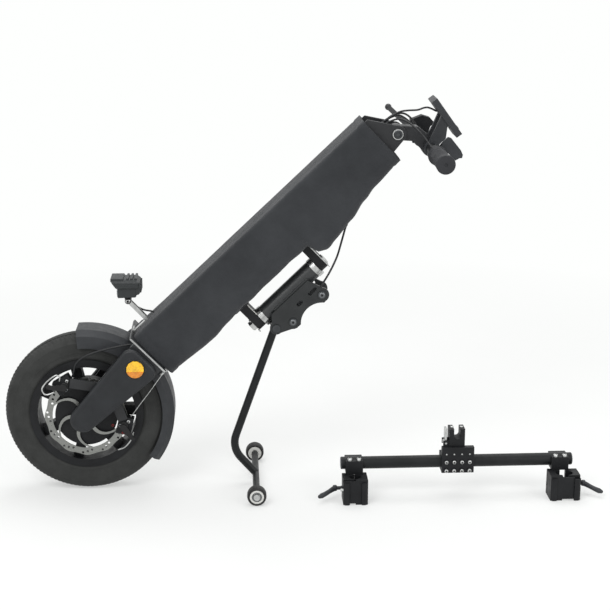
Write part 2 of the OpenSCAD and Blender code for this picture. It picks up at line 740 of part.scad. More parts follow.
// Latch between the plates, with a hook under the upper docking pin
latch_half = 5;
latch_back = 22;
latch_step = 33;
latch_s = dock_pin_mid - latch_back;
latch_drop = head_drop + latch_step;
latch_pin_r = 4;
latch_boss_r = 9;
latch_l = 46;
latch_w = 10;
latch_tip_share = 0.2;
latch_heel_share = 0.75;
latch_hook_share = 1.3;
module latch_outline() difference() {
  union() {
    circle(r = latch_boss_r);
    polygon([[0, latch_boss_r], [latch_l, latch_w * latch_tip_share], [latch_l, -latch_w],
             [latch_l * latch_heel_share, -latch_w * latch_hook_share], [0, -latch_boss_r]]);
  }
  circle(r = latch_pin_r + fit_gap);
}
module at_latch() in_column() translate([latch_s, 0, -latch_drop]) children();
module latch() color("#c3c5c5") at_latch() slab(latch_half, 2 * latch_half) latch_outline();
module latch_pin() color("#8a8d8f") at_latch() bar_y(latch_pin_r, -plate_in, plate_in);

// Stand: a bent leg on the bracket's lower bolt, with a crossbar and two rollers
stand_bolt_r = 5;
stand_hub_r = 11;
leg_r = leg_d / 2;
// The bend is a touch thicker, so the straight runs end inside it
bend_swell = 0.1;
roller_r = roller_d / 2;
roller_y = roller_span / 2 - roller_w / 2;
crossbar_half = roller_y - roller_w / 2 - stand_gap;
roller_bolt_r = 4;
roller_bolt_head_r = 7;
roller_bolt_head_h = 2.5;
roller_bolt_sink = 18;
roller_hub_r = 14;
roller_recess = 2;
stand_pivot = to_floor(stand_s, -stand_drop);
stand_foot = [stand_reach, roller_r];
stand_knee = [stand_reach - knee_front, roller_r + knee_rise];
module stand_bolt() color("#b7b9ba") in_column() translate([stand_s, 0, -stand_drop])
  pin_with_heads(stand_bolt_r, pin_head_r, plate_out);
module stand_leg() color("#303232") place() rotate([90, 0, 0]) {
  down = unit(stand_knee - stand_pivot);
  out = unit(stand_foot - stand_knee);
  turn = acos(down * out);
  run = leg_bend_r * tan(turn / 2);
  bend_from = stand_knee - down * run;
  bend_to = stand_knee + out * run;
  centre = bend_from + leg_bend_r * [-down[1], down[0]];
  difference() {
    union() {
      translate([stand_pivot[0], stand_pivot[1], stand_gap - plate_in])
        cylinder(r = stand_hub_r, h = 2 * (plate_in - stand_gap));
      rod(stand_pivot, bend_from + down * cut, leg_r);
    }
    translate([stand_pivot[0], stand_pivot[1], -plate_in])
      cylinder(r = stand_bolt_r + fit_gap, h = 2 * plate_in);
  }
  translate(centre) rotate(atan2(-down[0], down[1]))
    rotate_extrude(angle = turn) translate([leg_bend_r, 0]) circle(r = leg_r + bend_swell);
  rod(bend_to - out * cut, stand_foot, leg_r);
  translate([stand_foot[0], stand_foot[1], 0]) difference() {
    translate([0, 0, -crossbar_half]) cylinder(r = crossbar_d / 2, h = 2 * crossbar_half);
    for (side = [-1, 1]) translate([0, 0, side * crossbar_half - roller_bolt_sink])
      cylinder(r = roller_bolt_r + fit_gap, h = 2 * roller_bolt_sink);
  }
}
module at_foot() place() translate([stand_foot[0], 0, stand_foot[1]]) children();
module roller_bolts() color("#cfd1d1") at_foot() for (side = [-1, 1]) mirror([0, side > 0 ? 1 : 0, 0]) {
  bar_y(roller_bolt_r, -roller_span / 2 + roller_recess - stand_gap, roller_bolt_sink - crossbar_half);
  translate([0, roller_recess - stand_gap - roller_span / 2, 0])
    bar_y(roller_bolt_head_r, -roller_bolt_head_h, 0);
}
module roller_tyre(side) color("#262626") at_foot() translate([0, side * roller_y, 0]) difference() {
  bar_y(roller_r, -roller_w / 2, roller_w / 2);
  bar_y(roller_hub_r + seat_gap, -roller_w / 2 - cut, roller_w / 2 + cut);
}
module roller_hub(side) color("#e6e6e4") at_foot() translate([0, side * roller_y, 0]) difference() {
  bar_y(roller_hub_r, roller_recess - roller_w / 2, roller_w / 2 - roller_recess);
  bar_y(roller_bolt_r + fit_gap, -roller_w / 2, roller_w / 2);
}
module roller(side) {
  roller_tyre(side);
  roller_hub(side);
}
module near_roller() roller(-1);
module far_roller() roller(1);

// Stem and handlebar: a frame at the stem's pivot with the floor's own axes
stem_rise = 55;
stem_s = spine_top_s + stem_rise;
stem_drop = 26;
stem_bolt_r = 6;
stem_plate_t = 6;
stem_plate_in = spine_w / 2;
stem_plate_out = stem_plate_in + stem_plate_t;
stem_hub_r = 17;
stem_half = 16;
stem_clamp_r = 19;
stem_arch = 13;
stem_waist_r = 2;
stem_barrel_r = 15.5;
root_share = 0.96;
arch_share = 0.45;
waist_share = 0.5;
bar_r = bar_d / 2;
bar_half = bar_l / 2;
grip_r = grip_d / 2;
bar_at = [bar_back, -bar_drop];
module at_stem() in_column() translate([stem_s, 0, -stem_drop]) rotate([0, column_tilt, 0]) children();
module at_bar() at_stem() translate([bar_back, 0, -bar_drop]) children();

stem_plate_root = 100;
stem_plate_front = 41;
stem_plate_over = 8;
stem_plate_nose_r = 18;
nose_share = 0.7;
module stem_bracket() color("#2a2b2d") in_column() for (side = [-1, 1])
  slab(side > 0 ? stem_plate_out : -stem_plate_in, stem_plate_t) difference() {
    union() {
      polygon([[stem_s - stem_plate_root, -spine_low], [stem_s - stem_plate_root, -spine_drop],
               [sleeve_top_s, stem_plate_front], [sleeve_top_s + stem_plate_over, stem_plate_front],
               [stem_s + stem_plate_nose_r * nose_share, stem_plate_nose_r * nose_share - stem_drop],
               [stem_s, -stem_drop - stem_plate_nose_r], [sleeve_top_s, -spine_low]]);
      translate([stem_s, -stem_drop]) circle(r = stem_plate_nose_r);
    }
    translate([stem_s, -stem_drop]) circle(r = stem_bolt_r);
  }
stem_washer_r = 11.5;
stem_washer_h = 4;
module stem_bolt() color("#54575a") at_stem() {
  bar_y(stem_bolt_r, -stem_plate_out, stem_plate_out);
  for (side = [-1, 1]) bar_y(stem_washer_r, side > 0 ? stem_plate_out : -stem_plate_out - stem_washer_h,
                             side > 0 ? stem_plate_out + stem_washer_h : -stem_plate_out);
}
module stem_outline() {
  side = unit([-bar_at[1], bar_at[0]]);
  circle(r = stem_hub_r);
  translate(bar_at) circle(r = stem_clamp_r);
  polygon([side * stem_hub_r * root_share, bar_at * arch_share + side * (stem_hub_r + stem_arch),
           bar_at + side * stem_clamp_r * root_share, bar_at - side * stem_clamp_r * root_share,
           bar_at * waist_share - side * stem_waist_r, -side * stem_hub_r * root_share]);
}
module stem_arm() color("#2c2d30") at_stem() difference() {
  union() {
    slab(stem_half, 2 * stem_half) stem_outline();
    bar_y(stem_barrel_r, body_gap - stem_plate_in, stem_plate_in - body_gap);
  }
  bar_y(stem_bolt_r + fit_gap, -stem_plate_in, stem_plate_in);
  translate([bar_at[0], 0, bar_at[1]]) bar_y(bar_r, -stem_half - cut, stem_half + cut);
}
module handlebar_tube() color("#232426") at_bar() bar_y(bar_r, -bar_half, bar_half);
grip_cap = 3;
module grip(side) color("#414245") at_bar() mirror([0, side > 0 ? 1 : 0, 0]) difference() {
  bar_y(grip_r, -bar_half - grip_cap, grip_l - bar_half);
  bar_y(bar_r, -bar_half, grip_l - bar_half + cut);
}
module grips() {
  grip(-1);
  grip(1);
}

// Thumb throttle beside the near grip
throttle_w = 14;
throttle_r = 18;
paddle_w = 8;
paddle_gap = 3.6;
throttle_y = bar_half - grip_l - paddle_gap - body_gap - paddle_w;
paddle_l = 56;
paddle_shares = [[0, 0.25], [0.25, 0.55], [0.39, 0.66], [0.5, 0.625], [0.66, 0.43], [0.86, 0.18],
                 [0.94, 0.01], [0.91, -0.11], [0.82, -0.115], [0.66, -0.2], [0.39, 0.07], [0.25, -0.07]];
paddle_ring_r = 16;
module throttle_housing() color("#2a2b2e") at_bar() difference() {
  bar_y(throttle_r, -throttle_y, throttle_w - throttle_y);
  bar_y(bar_r, -throttle_y - cut, throttle_w - throttle_y + cut);
}
module throttle_paddle() color("#323337") at_bar() slab(-throttle_y - body_gap, paddle_w) difference() {
  union() {
    circle(r = paddle_ring_r);
    polygon([for (p = paddle_shares) paddle_l * p]);
  }
  circle(r = bar_r + fit_gap);
}

// Brake lever: local X runs from the bar towards the lever, Y along the bar
lever_rise = 139;
lever_l = 94;
perch_w = 24;
perch_gap = 2;
lever_y = bar_half - grip_l - perch_gap - perch_w / 2;
perch_half = 9;
perch_r = 18;
perch_l = 38;
lever_pivot_off = 29;
lever_pivot = [lever_pivot_off, lever_y];
lever_pin_r = 3;
lever_half = 5.5;
lever_w = 11;
lever_boss_r = 7;
lever_slot = 0.5;
perch_body_l = 54;
perch_body_shares = [[-0.57, 0.81], [-0.46, 0.5], [-0.15, 0.22], [0.15, 0.24], [0.26, 0.54], [0.42, 0.7],
                     [0.24, 0.9], [-0.08, 1]];
module at_lever() at_bar() rotate([0, -lever_rise, 0]) children();
module lever_perch() color("#242528") at_lever() difference() {
  union() {
    bar_y(perch_r, lever_y - perch_w / 2, lever_y + perch_w / 2);
    rotate([0, lever_rise, 0]) slab(lever_y + perch_w / 2 - cut, perch_w - 2 * cut)
      polygon([for (p = perch_body_shares) perch_body_l * p]);
    block([0, lever_y - perch_w / 2, -perch_half], [perch_l, lever_y + perch_w / 2, perch_half]);
  }
  bar_y(bar_r, lever_y - perch_w, lever_y + perch_w);
  block([perch_r + lever_slot, lever_y - perch_w, -lever_half - lever_slot],
        [perch_l + cut, lever_y + perch_w, lever_half + lever_slot]);
  translate([lever_pivot[0], lever_pivot[1], -perch_half - cut])
    cylinder(r = lever_pin_r + seat_gap, h = 2 * (perch_half + cut));
}
module lever_pin() color("#9a9c9e") at_lever() translate([lever_pivot[0], lever_pivot[1], -perch_half])
  cylinder(r = lever_pin_r, h = 2 * perch_half);
elbow_out_share = 0.72;
elbow_along_share = 0.4;
lever_thin_share = 0.8;
lever_elbow = [lever_reach * elbow_out_share, lever_y + lever_l * elbow_along_share];
lever_tip = [lever_reach, lever_y + lever_l];
module lever_run(p, q, w) translate(p) rotate(atan2(q[1] - p[1], q[0] - p[0]))
  translate([0, -w / 2]) square([norm(q - p), w]);
module brake_lever() color("#2e2f32") at_lever() {
  translate([0, 0, -lever_half]) linear_extrude(2 * lever_half) difference() {
    union() {
      translate(lever_pivot) circle(r = lever_boss_r);
      lever_run(lever_pivot, lever_elbow, lever_w);
      translate(lever_elbow) circle(r = lever_w / 2);
      lever_run(lever_elbow, lever_tip, lever_w * lever_thin_share);
    }
    translate(lever_pivot) circle(r = lever_pin_r + fit_gap);
  }
  translate([lever_tip[0], lever_tip[1], 0]) sphere(r = lever_ball_d / 2);
}

// Display on a strut from the bar, facing the rider
display_lean = 36;
display_slide = 34;
display_off = 56;
strut_shares = [[0, 0.25], [0.54, 0.52], [1.01, 0.8], [1.01, 0.38], [0.66, 0], [0.2, -0.07]];
strut_ring_r = 16;
strut_gap = 2;
strut_y = stem_half + strut_gap;
strut_ring_w = 11;
screen_inset = 5;
screen_share = 0.66;
screen_t = 1;
button_r = 4.5;
button_h = 2.5;
button_travel = 1.5;
button_step = 17;
button_share = 0.34;
button_drop = display_l * button_share;
screen_low = display_l / 2 - display_l * screen_share;
module at_display() at_bar() rotate([0, -display_lean, 0])
  translate([display_off, 0, display_slide]) children();
module display_mount() color("#1f2022") at_bar() for (y = [strut_y + strut_ring_w, -strut_y])
  slab(y, strut_ring_w) difference() {
    union() {
      circle(r = strut_ring_r);
      rotate(display_lean) polygon([for (p = strut_shares) display_off * p]);
    }
    circle(r = bar_r);
  }
module display_shell() color("#545456") at_display() difference() {
  block([0, -display_w / 2, -display_l / 2], [display_t, display_w / 2, display_l / 2]);
  block([display_t - screen_t, screen_inset - display_w / 2, screen_low],
        [display_t + cut, display_w / 2 - screen_inset, display_l / 2 - screen_inset]);
  for (k = [-1:1]) translate([0, k * button_step, -button_drop])
    bar_x(button_r + body_gap, display_t - button_h - button_travel, display_t + cut);
}
module display_screen() color("#15171a") at_display()
  block([display_t - screen_t, screen_inset - display_w / 2, screen_low],
        [display_t, display_w / 2 - screen_inset, display_l / 2 - screen_inset]);
module display_button(k) color("#5c5e60") at_display() translate([0, k * button_step, -button_drop])
  bar_x(button_r, display_t - button_h, display_t + button_travel);
module power_button() display_button(0);
module plus_button() display_button(1);
module minus_button() display_button(-1);

// Headlight on a two-plate bracket over the crown
lamp_ahead = 39;
lamp_s = crown_end_s + lamp_ahead;
lamp_rise = 113;
lamp_base = 11;
lamp_shares = [[-0.42, 0], [0.38, 0.02], [0.6, 0.2], [0.6, 0.7], [0.46, 1], [-0.7, 1], [-0.66, 0.8]];
lamp_last = len(lamp_shares) - 1;
lens_t = 3;
lens_low_share = 0.12;
lens_high_share = 0.9;
lamp_pivot_r = 2.5;
lug_r = 7;
lug_half = 5;
ear_t = 3;
ear_in = lug_half + body_gap;
ear_out = ear_in + ear_t;
strip_w = 8;
strap_t = 3;
strap_gap = 1.5;
strap_h = sleeve_front + strap_gap;
knee_s = lamp_s + strap_t;
ear_end_r = 7;
foot_t = 3;
foot_half = 16;
function lamp_point(p) = [p[0] * lamp_l, lamp_base + p[1] * lamp_h];
function front_point(share) = lamp_point(lamp_shares[0]) * (1 - share)
  + lamp_point(lamp_shares[lamp_last]) * share;
module at_lamp() in_column() translate([lamp_s, 0, lamp_rise]) rotate([0, column_tilt, 0]) children();
module headlight_case() color("#2c2e2f") at_lamp() difference() {
  union() {
    slab(lamp_w / 2, lamp_w) polygon([for (p = lamp_shares) lamp_point(p)]);
    bar_y(lug_r, -lug_half, lug_half);
    block([-lug_r, -lug_half, 0], [lug_r, lug_half, lamp_base + lug_r]);
  }
  bar_y(lamp_pivot_r + fit_gap, -lamp_w, lamp_w);
}
lens_inset = 5;
module headlight_lens() color("#d8dde0") at_lamp()
  slab(lamp_w / 2 - lens_inset, lamp_w - 2 * lens_inset) polygon([
  front_point(lens_low_share), front_point(lens_high_share),
  front_point(lens_high_share) - [lens_t, 0], front_point(lens_low_share) - [lens_t, 0]]);
module headlight_bracket() color("#c6c8c8") in_column() difference() {
  union() {
    block([crown_end_s, -foot_half, sleeve_front + body_gap],
      [crown_end_s + foot_t, foot_half, crown_front]);
    block([crown_end_s, -ear_out, strap_h], [knee_s, ear_out, strap_h + strap_t]);
    for (y = [ear_out, -ear_in]) slab(y, ear_t) {
      lever_run([knee_s - strip_w / 2, strap_h], [lamp_s, lamp_rise], strip_w);
      translate([lamp_s, lamp_rise]) circle(r = ear_end_r);
    }
  }
  translate([lamp_s, 0, lamp_rise]) bar_y(lamp_pivot_r, -lamp_w, lamp_w);
  block([crown_s, -foot_half, 0], [crown_end_s, foot_half, crown_front + strip_w]);
}
module headlight_screw() color("#d0d2d2") at_lamp() {
  bar_y(lamp_pivot_r, -ear_out, ear_out);
  bar_y(2 * lamp_pivot_r, -ear_out - lamp_pivot_r, -ear_out);
}

// Docking bar
module at_dock() place() translate([dock_x, -dock_y, 0]) children();
dock_r = dock_d / 2;
dock_wall = 2.5;
module dock_tube() color("#3b3c3d") at_dock() translate([0, 0, dock_z]) difference() {
  bar_x(dock_r, -dock_l / 2, dock_l / 2);
  bar_x(dock_r - dock_wall, -dock_l / 2 - cut, dock_l / 2 + cut);
}
block_low = 20;
block_z = dock_z - block_low;
bolt_row_shares = [0.1, 0.44];
dimple_row_share = 0.74;
block_half = 22;
block_plate_t = 14;
block_back_over = 4;
block_plate_in = block_plate_t - block_half;
block_back_top = dock_z + dock_r + block_back_over;
block_bolt_r = 4;
block_bolt_h = 3;
dimple_r = 1.8;
block_bolt_shares = [-0.36, -0.12, 0.12, 0.36];
module centre_block() color("#2d2e30") at_dock() difference() {
  union() {
    block([-block_w / 2, -block_half, block_z], [block_w / 2, block_plate_in, block_z + block_h]);
    block([-block_w / 2, block_plate_in - cut, block_z], [block_w / 2, block_half, block_back_top]);
  }
  translate([0, 0, dock_z]) bar_x(dock_r, -block_w, block_w);
}
module block_bolts() color("#c2c4c4") at_dock() for (share = block_bolt_shares) {
  for (row = bolt_row_shares) translate([share * block_w, -block_half, block_z + row * block_h])
    rotate([90, 0, 0]) cylinder(r = block_bolt_r, h = block_bolt_h);
  translate([share * block_w, -block_half, block_z + dimple_row_share * block_h])
    rotate([90, 0, 0]) cylinder(r = dimple_r, h = block_bolt_h / 3);
}
hook_w = 34;
hook_h = 40;
hook_half = 15;
hook_x = -2;
hook_slot_r = 7;
hook_slot_share = 0.6;
cam_r = 6;
cam_gap = 1;
cam_x = hook_x - hook_w / 2 - cam_r - cam_gap;
cam_half = 8;
cam_l = 33;
cam_t = 5;
cam_pin_r = 2.5;
ear_w = 4;
block_top = block_z + block_h;
module hook_clamp() color("#28292b") at_dock() difference() {
  union() {
    block([hook_x - hook_w / 2, -hook_half, block_top],
      [hook_x + hook_w / 2, hook_half, block_top + hook_h]);
    block([hook_x - hook_w / 2, block_plate_in + seat_gap, block_back_top + seat_gap],
      [hook_x + hook_w / 2, hook_half, block_top + cut]);
    for (y = [cam_half + body_gap, -cam_half - body_gap - ear_w])
      block([cam_x - cam_r, y, block_top], [hook_x - hook_w / 2 + cut, y + ear_w, block_top + 2 * cam_r]);
  }
  translate([hook_x, 0, block_top + hook_h * hook_slot_share])
    bar_y(hook_slot_r, -hook_half - cut, hook_half + cut);
  block([hook_x - hook_slot_r, -hook_half - cut, block_top + hook_h * hook_slot_share],
        [hook_x + hook_slot_r, hook_half + cut, block_top + hook_h + cut]);
  translate([cam_x, 0, block_top + cam_r + body_gap]) bar_y(cam_pin_r, -hook_half, hook_half);
}
module cam_lever() color("#cbcdcd") at_dock()
  translate([cam_x, 0, block_top + cam_r + body_gap]) difference() {
  union() {
    bar_y(cam_r - body_gap, -cam_half, cam_half);
    block([-cam_t / 2, -cam_half, 0], [cam_t / 2, cam_half, cam_l]);
  }
  bar_y(cam_pin_r + fit_gap, -hook_half, hook_half);
}
module cam_pin() color("#9da0a1") at_dock() translate([cam_x, 0, block_top + cam_r + body_gap])
  bar_y(cam_pin_r, -cam_half - body_gap - ear_w, cam_half + body_gap + ear_w);

// Chair clamps: local X points outwards from the middle of the bar
saddle_half = 20;
clamp_split = 1;
clamp_edge = 7;
bore_clear = 2.3;
clamp_bore_r = chair_tube_d / 2;
clamp_ahead = saddle_half + clamp_bore_r + bore_clear;
guide_r = 3;
guide_y = clamp_depth / 2 - clamp_edge;
guide_z_share = 0.6;
guide_sink = 16;
guide_over = 6;
guide_l = clamp_w / 2 + guide_over;
screw_r = 3.5;
screw_y = clamp_depth / 2 - clamp_edge;
screw_z = 24;
screw_sink = 14;
screw_room = 18;
handle_hub_r = 9;
handle_hub_l = 15;
handle_from = 10;
handle_to = 49;
handle_out = 26;
handle_r = 5;
handle_tip_r = handle_over - handle_to;
left_handle_turn = 200;
right_handle_turn = 205;
module at_clamp(side) at_dock() translate([side * clamp_span / 2, -clamp_ahead, 0])
  mirror([side < 0 ? 1 : 0, 0, 0]) children();
module guide_line(r, from, to) translate([0, -guide_y, clamp_h * guide_z_share]) bar_x(r, from, to);
module screw_line(r, from, to) translate([0, screw_y, screw_z]) bar_x(r, from, to);
module clamp_body(side) color("#242527") at_clamp(side) difference() {
  block([-clamp_w / 2, -clamp_depth / 2, 0], [-clamp_split / 2, clamp_depth / 2, clamp_h]);
  translate([0, 0, -cut]) cylinder(r = clamp_bore_r, h = clamp_h + 2 * cut);
  guide_line(guide_r, -guide_sink, cut);
  screw_line(screw_r + fit_gap, -screw_room, cut);
}
module chair_clamps() {
  clamp_body(-1);
  clamp_body(1);
}
module guide_rods() color("#a5a8a9") for (side = [-1, 1])
  at_clamp(side) guide_line(guide_r, -guide_sink, guide_l);
module jaw(side, open) color("#2b2c2e") at_clamp(side) translate([open, 0, 0]) difference() {
  block([clamp_split / 2, -clamp_depth / 2, stand_gap],
    [clamp_w / 2, clamp_depth / 2, clamp_h - stand_gap]);
  translate([0, 0, -cut]) cylinder(r = clamp_bore_r, h = clamp_h + 2 * cut);
  guide_line(guide_r + fit_gap, -cut, clamp_w);
  screw_line(screw_r + fit_gap, -cut, clamp_w);
}
module left_jaw() jaw(-1, 0);
module right_jaw() jaw(1, right_jaw_open);
module handle(side, open, turn) color("#222325") at_clamp(side) translate([open, 0, 0]) {
  screw_line(screw_r, -screw_sink, clamp_w / 2 + body_gap);
  screw_line(handle_hub_r, clamp_w / 2 + body_gap, clamp_w / 2 + handle_hub_l);
  translate([clamp_w / 2, screw_y, screw_z]) rotate([turn, 0, 0]) {
    rod([handle_from, 0], [handle_to, handle_out], handle_r);
    translate([handle_to, handle_out, 0]) sphere(r = handle_tip_r);
  }
}
module left_handle() handle(-1, 0, left_handle_turn);
module right_handle() handle(1, right_jaw_open, right_handle_turn);
saddle_w = 38;
saddle_rise = 11;
saddle_top = dock_z + saddle_rise;
saddle_bolt_r = 5;
saddle_bolt_h = 3;
saddle_bolt_x = 10;
module bar_saddles() color("#2a2b2d") for (side = [-1, 1])
  at_dock() translate([side * clamp_span / 2, 0, 0]) difference() {
  block([-saddle_w / 2, -saddle_half, clamp_h], [saddle_w / 2, saddle_half, saddle_top]);
  translate([0, 0, dock_z]) bar_x(dock_r, -saddle_w, saddle_w);
}
module saddle_bolts() color("#8f9293") for (side = [-1, 1], x = [-saddle_bolt_x, saddle_bolt_x]) at_dock()
  translate([side * clamp_span / 2 + x, saddle_bolt_r - saddle_half, saddle_top])
    cylinder(r = saddle_bolt_r, h = saddle_bolt_h);

// Cables: routes of points chosen by hand, in the frame of the piece that carries them
brake_cable_r = 2.2;
wire_r = 1.1;
control_cable_r = 2;
// Points that lead to the lever or the throttle take their distance from the middle as a share of its own
function led(route, lead) = [for (p = route) [p[0], p[1] * lead, p[2]]];
perch_in = lever_y - perch_w / 2;
throttle_in = throttle_y - throttle_w;
front_cable_route = [[195, -52, 40], [182, -52, 51], [160, -53, 66], [134, -54, 82], [110, -55, 94],
  [90, -55, 100], [74, -54, 100], [61, -52, 94], [50, -50.5, 87], [40, -50, 83.2]];
rear_wire_route = [[196, -60, -45], [170, -59, -50], [140, -57, -56], [105, -54, -62], [68, -51, -69.2]];
display_cable_route = [[-52, -12, 0], [-44, -12, 10], [-32, -12, 21], [-17, -12, 31], [-3, -12, 40],
  [9, -12, 45], [24, -12, 47], [44, -12, 48], [56, -12, 52], [65, -12, 53], [74, -12, 50],
  [80, -12, 47], [84.6, -12, 45]];
lever_cable_shares = [[64.7, 0.997, -19.5], [63, 0.91, -18.5], [55, 0.81, -7], [40, 0.7, 9],
  [24, 0.51, 23], [9, 0.32, 31], [-8, 0.2, 29], [-24, 0.15, 20], [-40, 0.13, 9], [-52, 0.12, -2]];
second_cable_shares = [[59.5, 0.997, -25.5], [60, 0.91, -24.5], [59, 0.79, -13], [49, 0.66, 7],
  [35, 0.45, 25], [18, 0.26, 36], [-2, 0.13, 36], [-20, 0.06, 26], [-38, 0.04, 13], [-52, 0.04, 0]];
throttle_cable_shares = [[64, -0.995, -19], [62, -0.91, -16], [52.8, -0.79, -3.1], [38.4, -0.64, 12.7],
  [22, -0.47, 25.5], [5.2, -0.32, 31.4], [-11.6, -0.24, 27.2], [-28.8, -0.21, 17.1], [-42, -0.21, 6],
  [-52, -0.21, -4]];
lamp_cable_route = [[260, 12, 53.4], [256, 12, 60], [248, 12.4, 71], [243, 12.6, 84], [242, 12.4, 97],
  [243, 12, 109]];
release_cable_route = [[698, -8, -97], [690, -10, -101], [676, -13, -109], [660, -17, -118],
  [640, -22, -129], [622, -28, -136], [606, -33, -141], [592, -35.4, -145], [578, -34, -149],
  [566, -33.2, -152]];
module front_brake_cable() color("#17181a") in_column() cable(front_cable_route, brake_cable_r);
module rear_brake_wire() color("#c9cbcc") in_column() cable(rear_wire_route, wire_r);
module display_cable() color("#17181a") at_stem() cable(display_cable_route, control_cable_r);
module lever_cables() color("#17181a") at_stem() {
  cable(led(lever_cable_shares, perch_in), brake_cable_r);
  cable(led(second_cable_shares, perch_in), brake_cable_r);
}
module throttle_cable() color("#17181a") at_stem()
  cable(led(throttle_cable_shares, throttle_in), control_cable_r);
module headlight_cable() color("#17181a") in_column() cable(lamp_cable_route, control_cable_r);
module release_cable() color("#17181a") in_column() cable(release_cable_route, brake_cable_r);

// Nodes that hold more than one piece
module brake_rotor() {
  rotor_disc();
  rotor_bolts();
}
module axle() {
  axle_rod();
  axle_nuts();
}
module fork() {
  fork_blade(-1);
  fork_blade(1);
  crown_plate();
}
module fork_covers() {
  fork_cover(-1);
  fork_cover(1);
}
module brake_calipers() {
  caliper(front_caliper_angle);
  caliper(rear_caliper_angle);
  brake_pads();
}
module column_bolts() {
  kingpin();
  kingpin_nuts();
  stem_bolt();
  fender_bolts();
  headlight_screw();
}
module column_frame() {
  spine_tube();
  stem_bracket();
}
module headset() {
  head_cups();
  head_bearings();
}
module bracket_pins() {
  dock_pins();
  latch_pin();
  stand_bolt();
}
module bar_clamps() {
  throttle_housing();
  lever_perch();
  lever_pin();
}
module display_case() {
  display_shell();
  display_mount();
}
module dock_bolts() {
  block_bolts();
  saddle_bolts();
  guide_rods();
  cam_pin();
}
module brake_cables() {
  front_brake_cable();
  rear_brake_wire();
  headlight_cable();
}
module control_cables() {
  display_cable();
  lever_cables();
  throttle_cable();
}

tyre();
wheel_rim();
motor_cover();
magnet_ring();
wheel_bearings();
brake_rotor();
axle();
motor_stator();
fork();
fork_covers();
side_reflectors();
brake_calipers();
caliper_adapters();
front_caliper_arm();
rear_caliper_arm();
fender();
column_bolts();
column_frame();
battery_pack();
controller();
fabric_sleeve();
head_arms();
head_tube();
headset();
dock_plates();
bracket_pins();
latch();
stand_leg();
roller_bolts();
near_roller();
far_roller();
stem_arm();
handlebar_tube();
grips();
bar_clamps();
throttle_paddle();
brake_lever();
display_case();
display_screen();
power_button();
plus_button();
minus_button();
headlight_case();
headlight_lens();
headlight_bracket();
dock_tube();
centre_block();
dock_bolts();
hook_clamp();
cam_lever();
chair_clamps();
left_jaw();
right_jaw();
left_handle();
right_handle();
bar_saddles();
brake_cables();
control_cables();
release_cable();
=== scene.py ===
import json
import math

import bmesh
import bpy
from mathutils import Matrix, Vector, noise

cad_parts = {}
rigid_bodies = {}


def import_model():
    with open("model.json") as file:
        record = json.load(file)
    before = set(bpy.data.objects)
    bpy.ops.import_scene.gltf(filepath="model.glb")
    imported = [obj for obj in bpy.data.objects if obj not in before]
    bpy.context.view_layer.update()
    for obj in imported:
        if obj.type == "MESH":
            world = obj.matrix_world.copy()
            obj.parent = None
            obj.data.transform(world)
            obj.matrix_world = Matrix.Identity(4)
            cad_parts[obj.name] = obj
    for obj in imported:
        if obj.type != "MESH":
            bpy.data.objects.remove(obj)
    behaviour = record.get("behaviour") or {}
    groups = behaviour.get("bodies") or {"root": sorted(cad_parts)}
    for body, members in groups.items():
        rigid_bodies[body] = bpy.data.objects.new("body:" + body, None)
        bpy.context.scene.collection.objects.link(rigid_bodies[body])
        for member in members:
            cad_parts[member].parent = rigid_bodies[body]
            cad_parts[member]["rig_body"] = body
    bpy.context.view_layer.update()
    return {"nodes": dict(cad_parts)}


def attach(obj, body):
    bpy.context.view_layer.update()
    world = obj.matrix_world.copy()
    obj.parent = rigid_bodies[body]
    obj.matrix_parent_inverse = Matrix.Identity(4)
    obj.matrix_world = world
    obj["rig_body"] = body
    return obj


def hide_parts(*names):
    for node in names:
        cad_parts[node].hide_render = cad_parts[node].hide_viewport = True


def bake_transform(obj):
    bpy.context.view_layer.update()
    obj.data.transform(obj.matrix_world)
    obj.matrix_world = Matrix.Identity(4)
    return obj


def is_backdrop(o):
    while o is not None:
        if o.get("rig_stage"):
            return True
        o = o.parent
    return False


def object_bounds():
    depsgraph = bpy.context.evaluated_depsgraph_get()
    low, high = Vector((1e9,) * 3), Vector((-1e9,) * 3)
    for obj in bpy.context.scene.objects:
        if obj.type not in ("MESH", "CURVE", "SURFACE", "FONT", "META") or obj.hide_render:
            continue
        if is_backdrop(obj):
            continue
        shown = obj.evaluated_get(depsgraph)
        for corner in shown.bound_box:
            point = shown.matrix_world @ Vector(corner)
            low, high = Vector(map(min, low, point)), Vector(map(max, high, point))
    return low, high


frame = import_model()
nodes = frame["nodes"]

# Sizes shared with the solids, in millimetres
MM = 0.001
ORIGIN_X = 476.75
AXLE_Z = 181.0
TILT = 43.8


def place(x, y, z, turn=0.0, mirror_x=False, mirror_y=False):
    """A millimetre frame at a floor point whose X rises by turn degrees about Y."""
    m = Matrix.Translation(((x - ORIGIN_X) * MM, y * MM, z * MM))
    m = m @ Matrix.Rotation(math.radians(-turn), 4, "Y") @ Matrix.Scale(MM, 4)
    flip = Matrix.Diagonal((-1 if mirror_x else 1, -1 if mirror_y else 1, 1, 1))
    return m @ flip


def on_column(s, h):
    t = math.radians(TILT)
    return s * math.cos(t) - h * math.sin(t), AXLE_Z + s * math.sin(t) + h * math.cos(t)


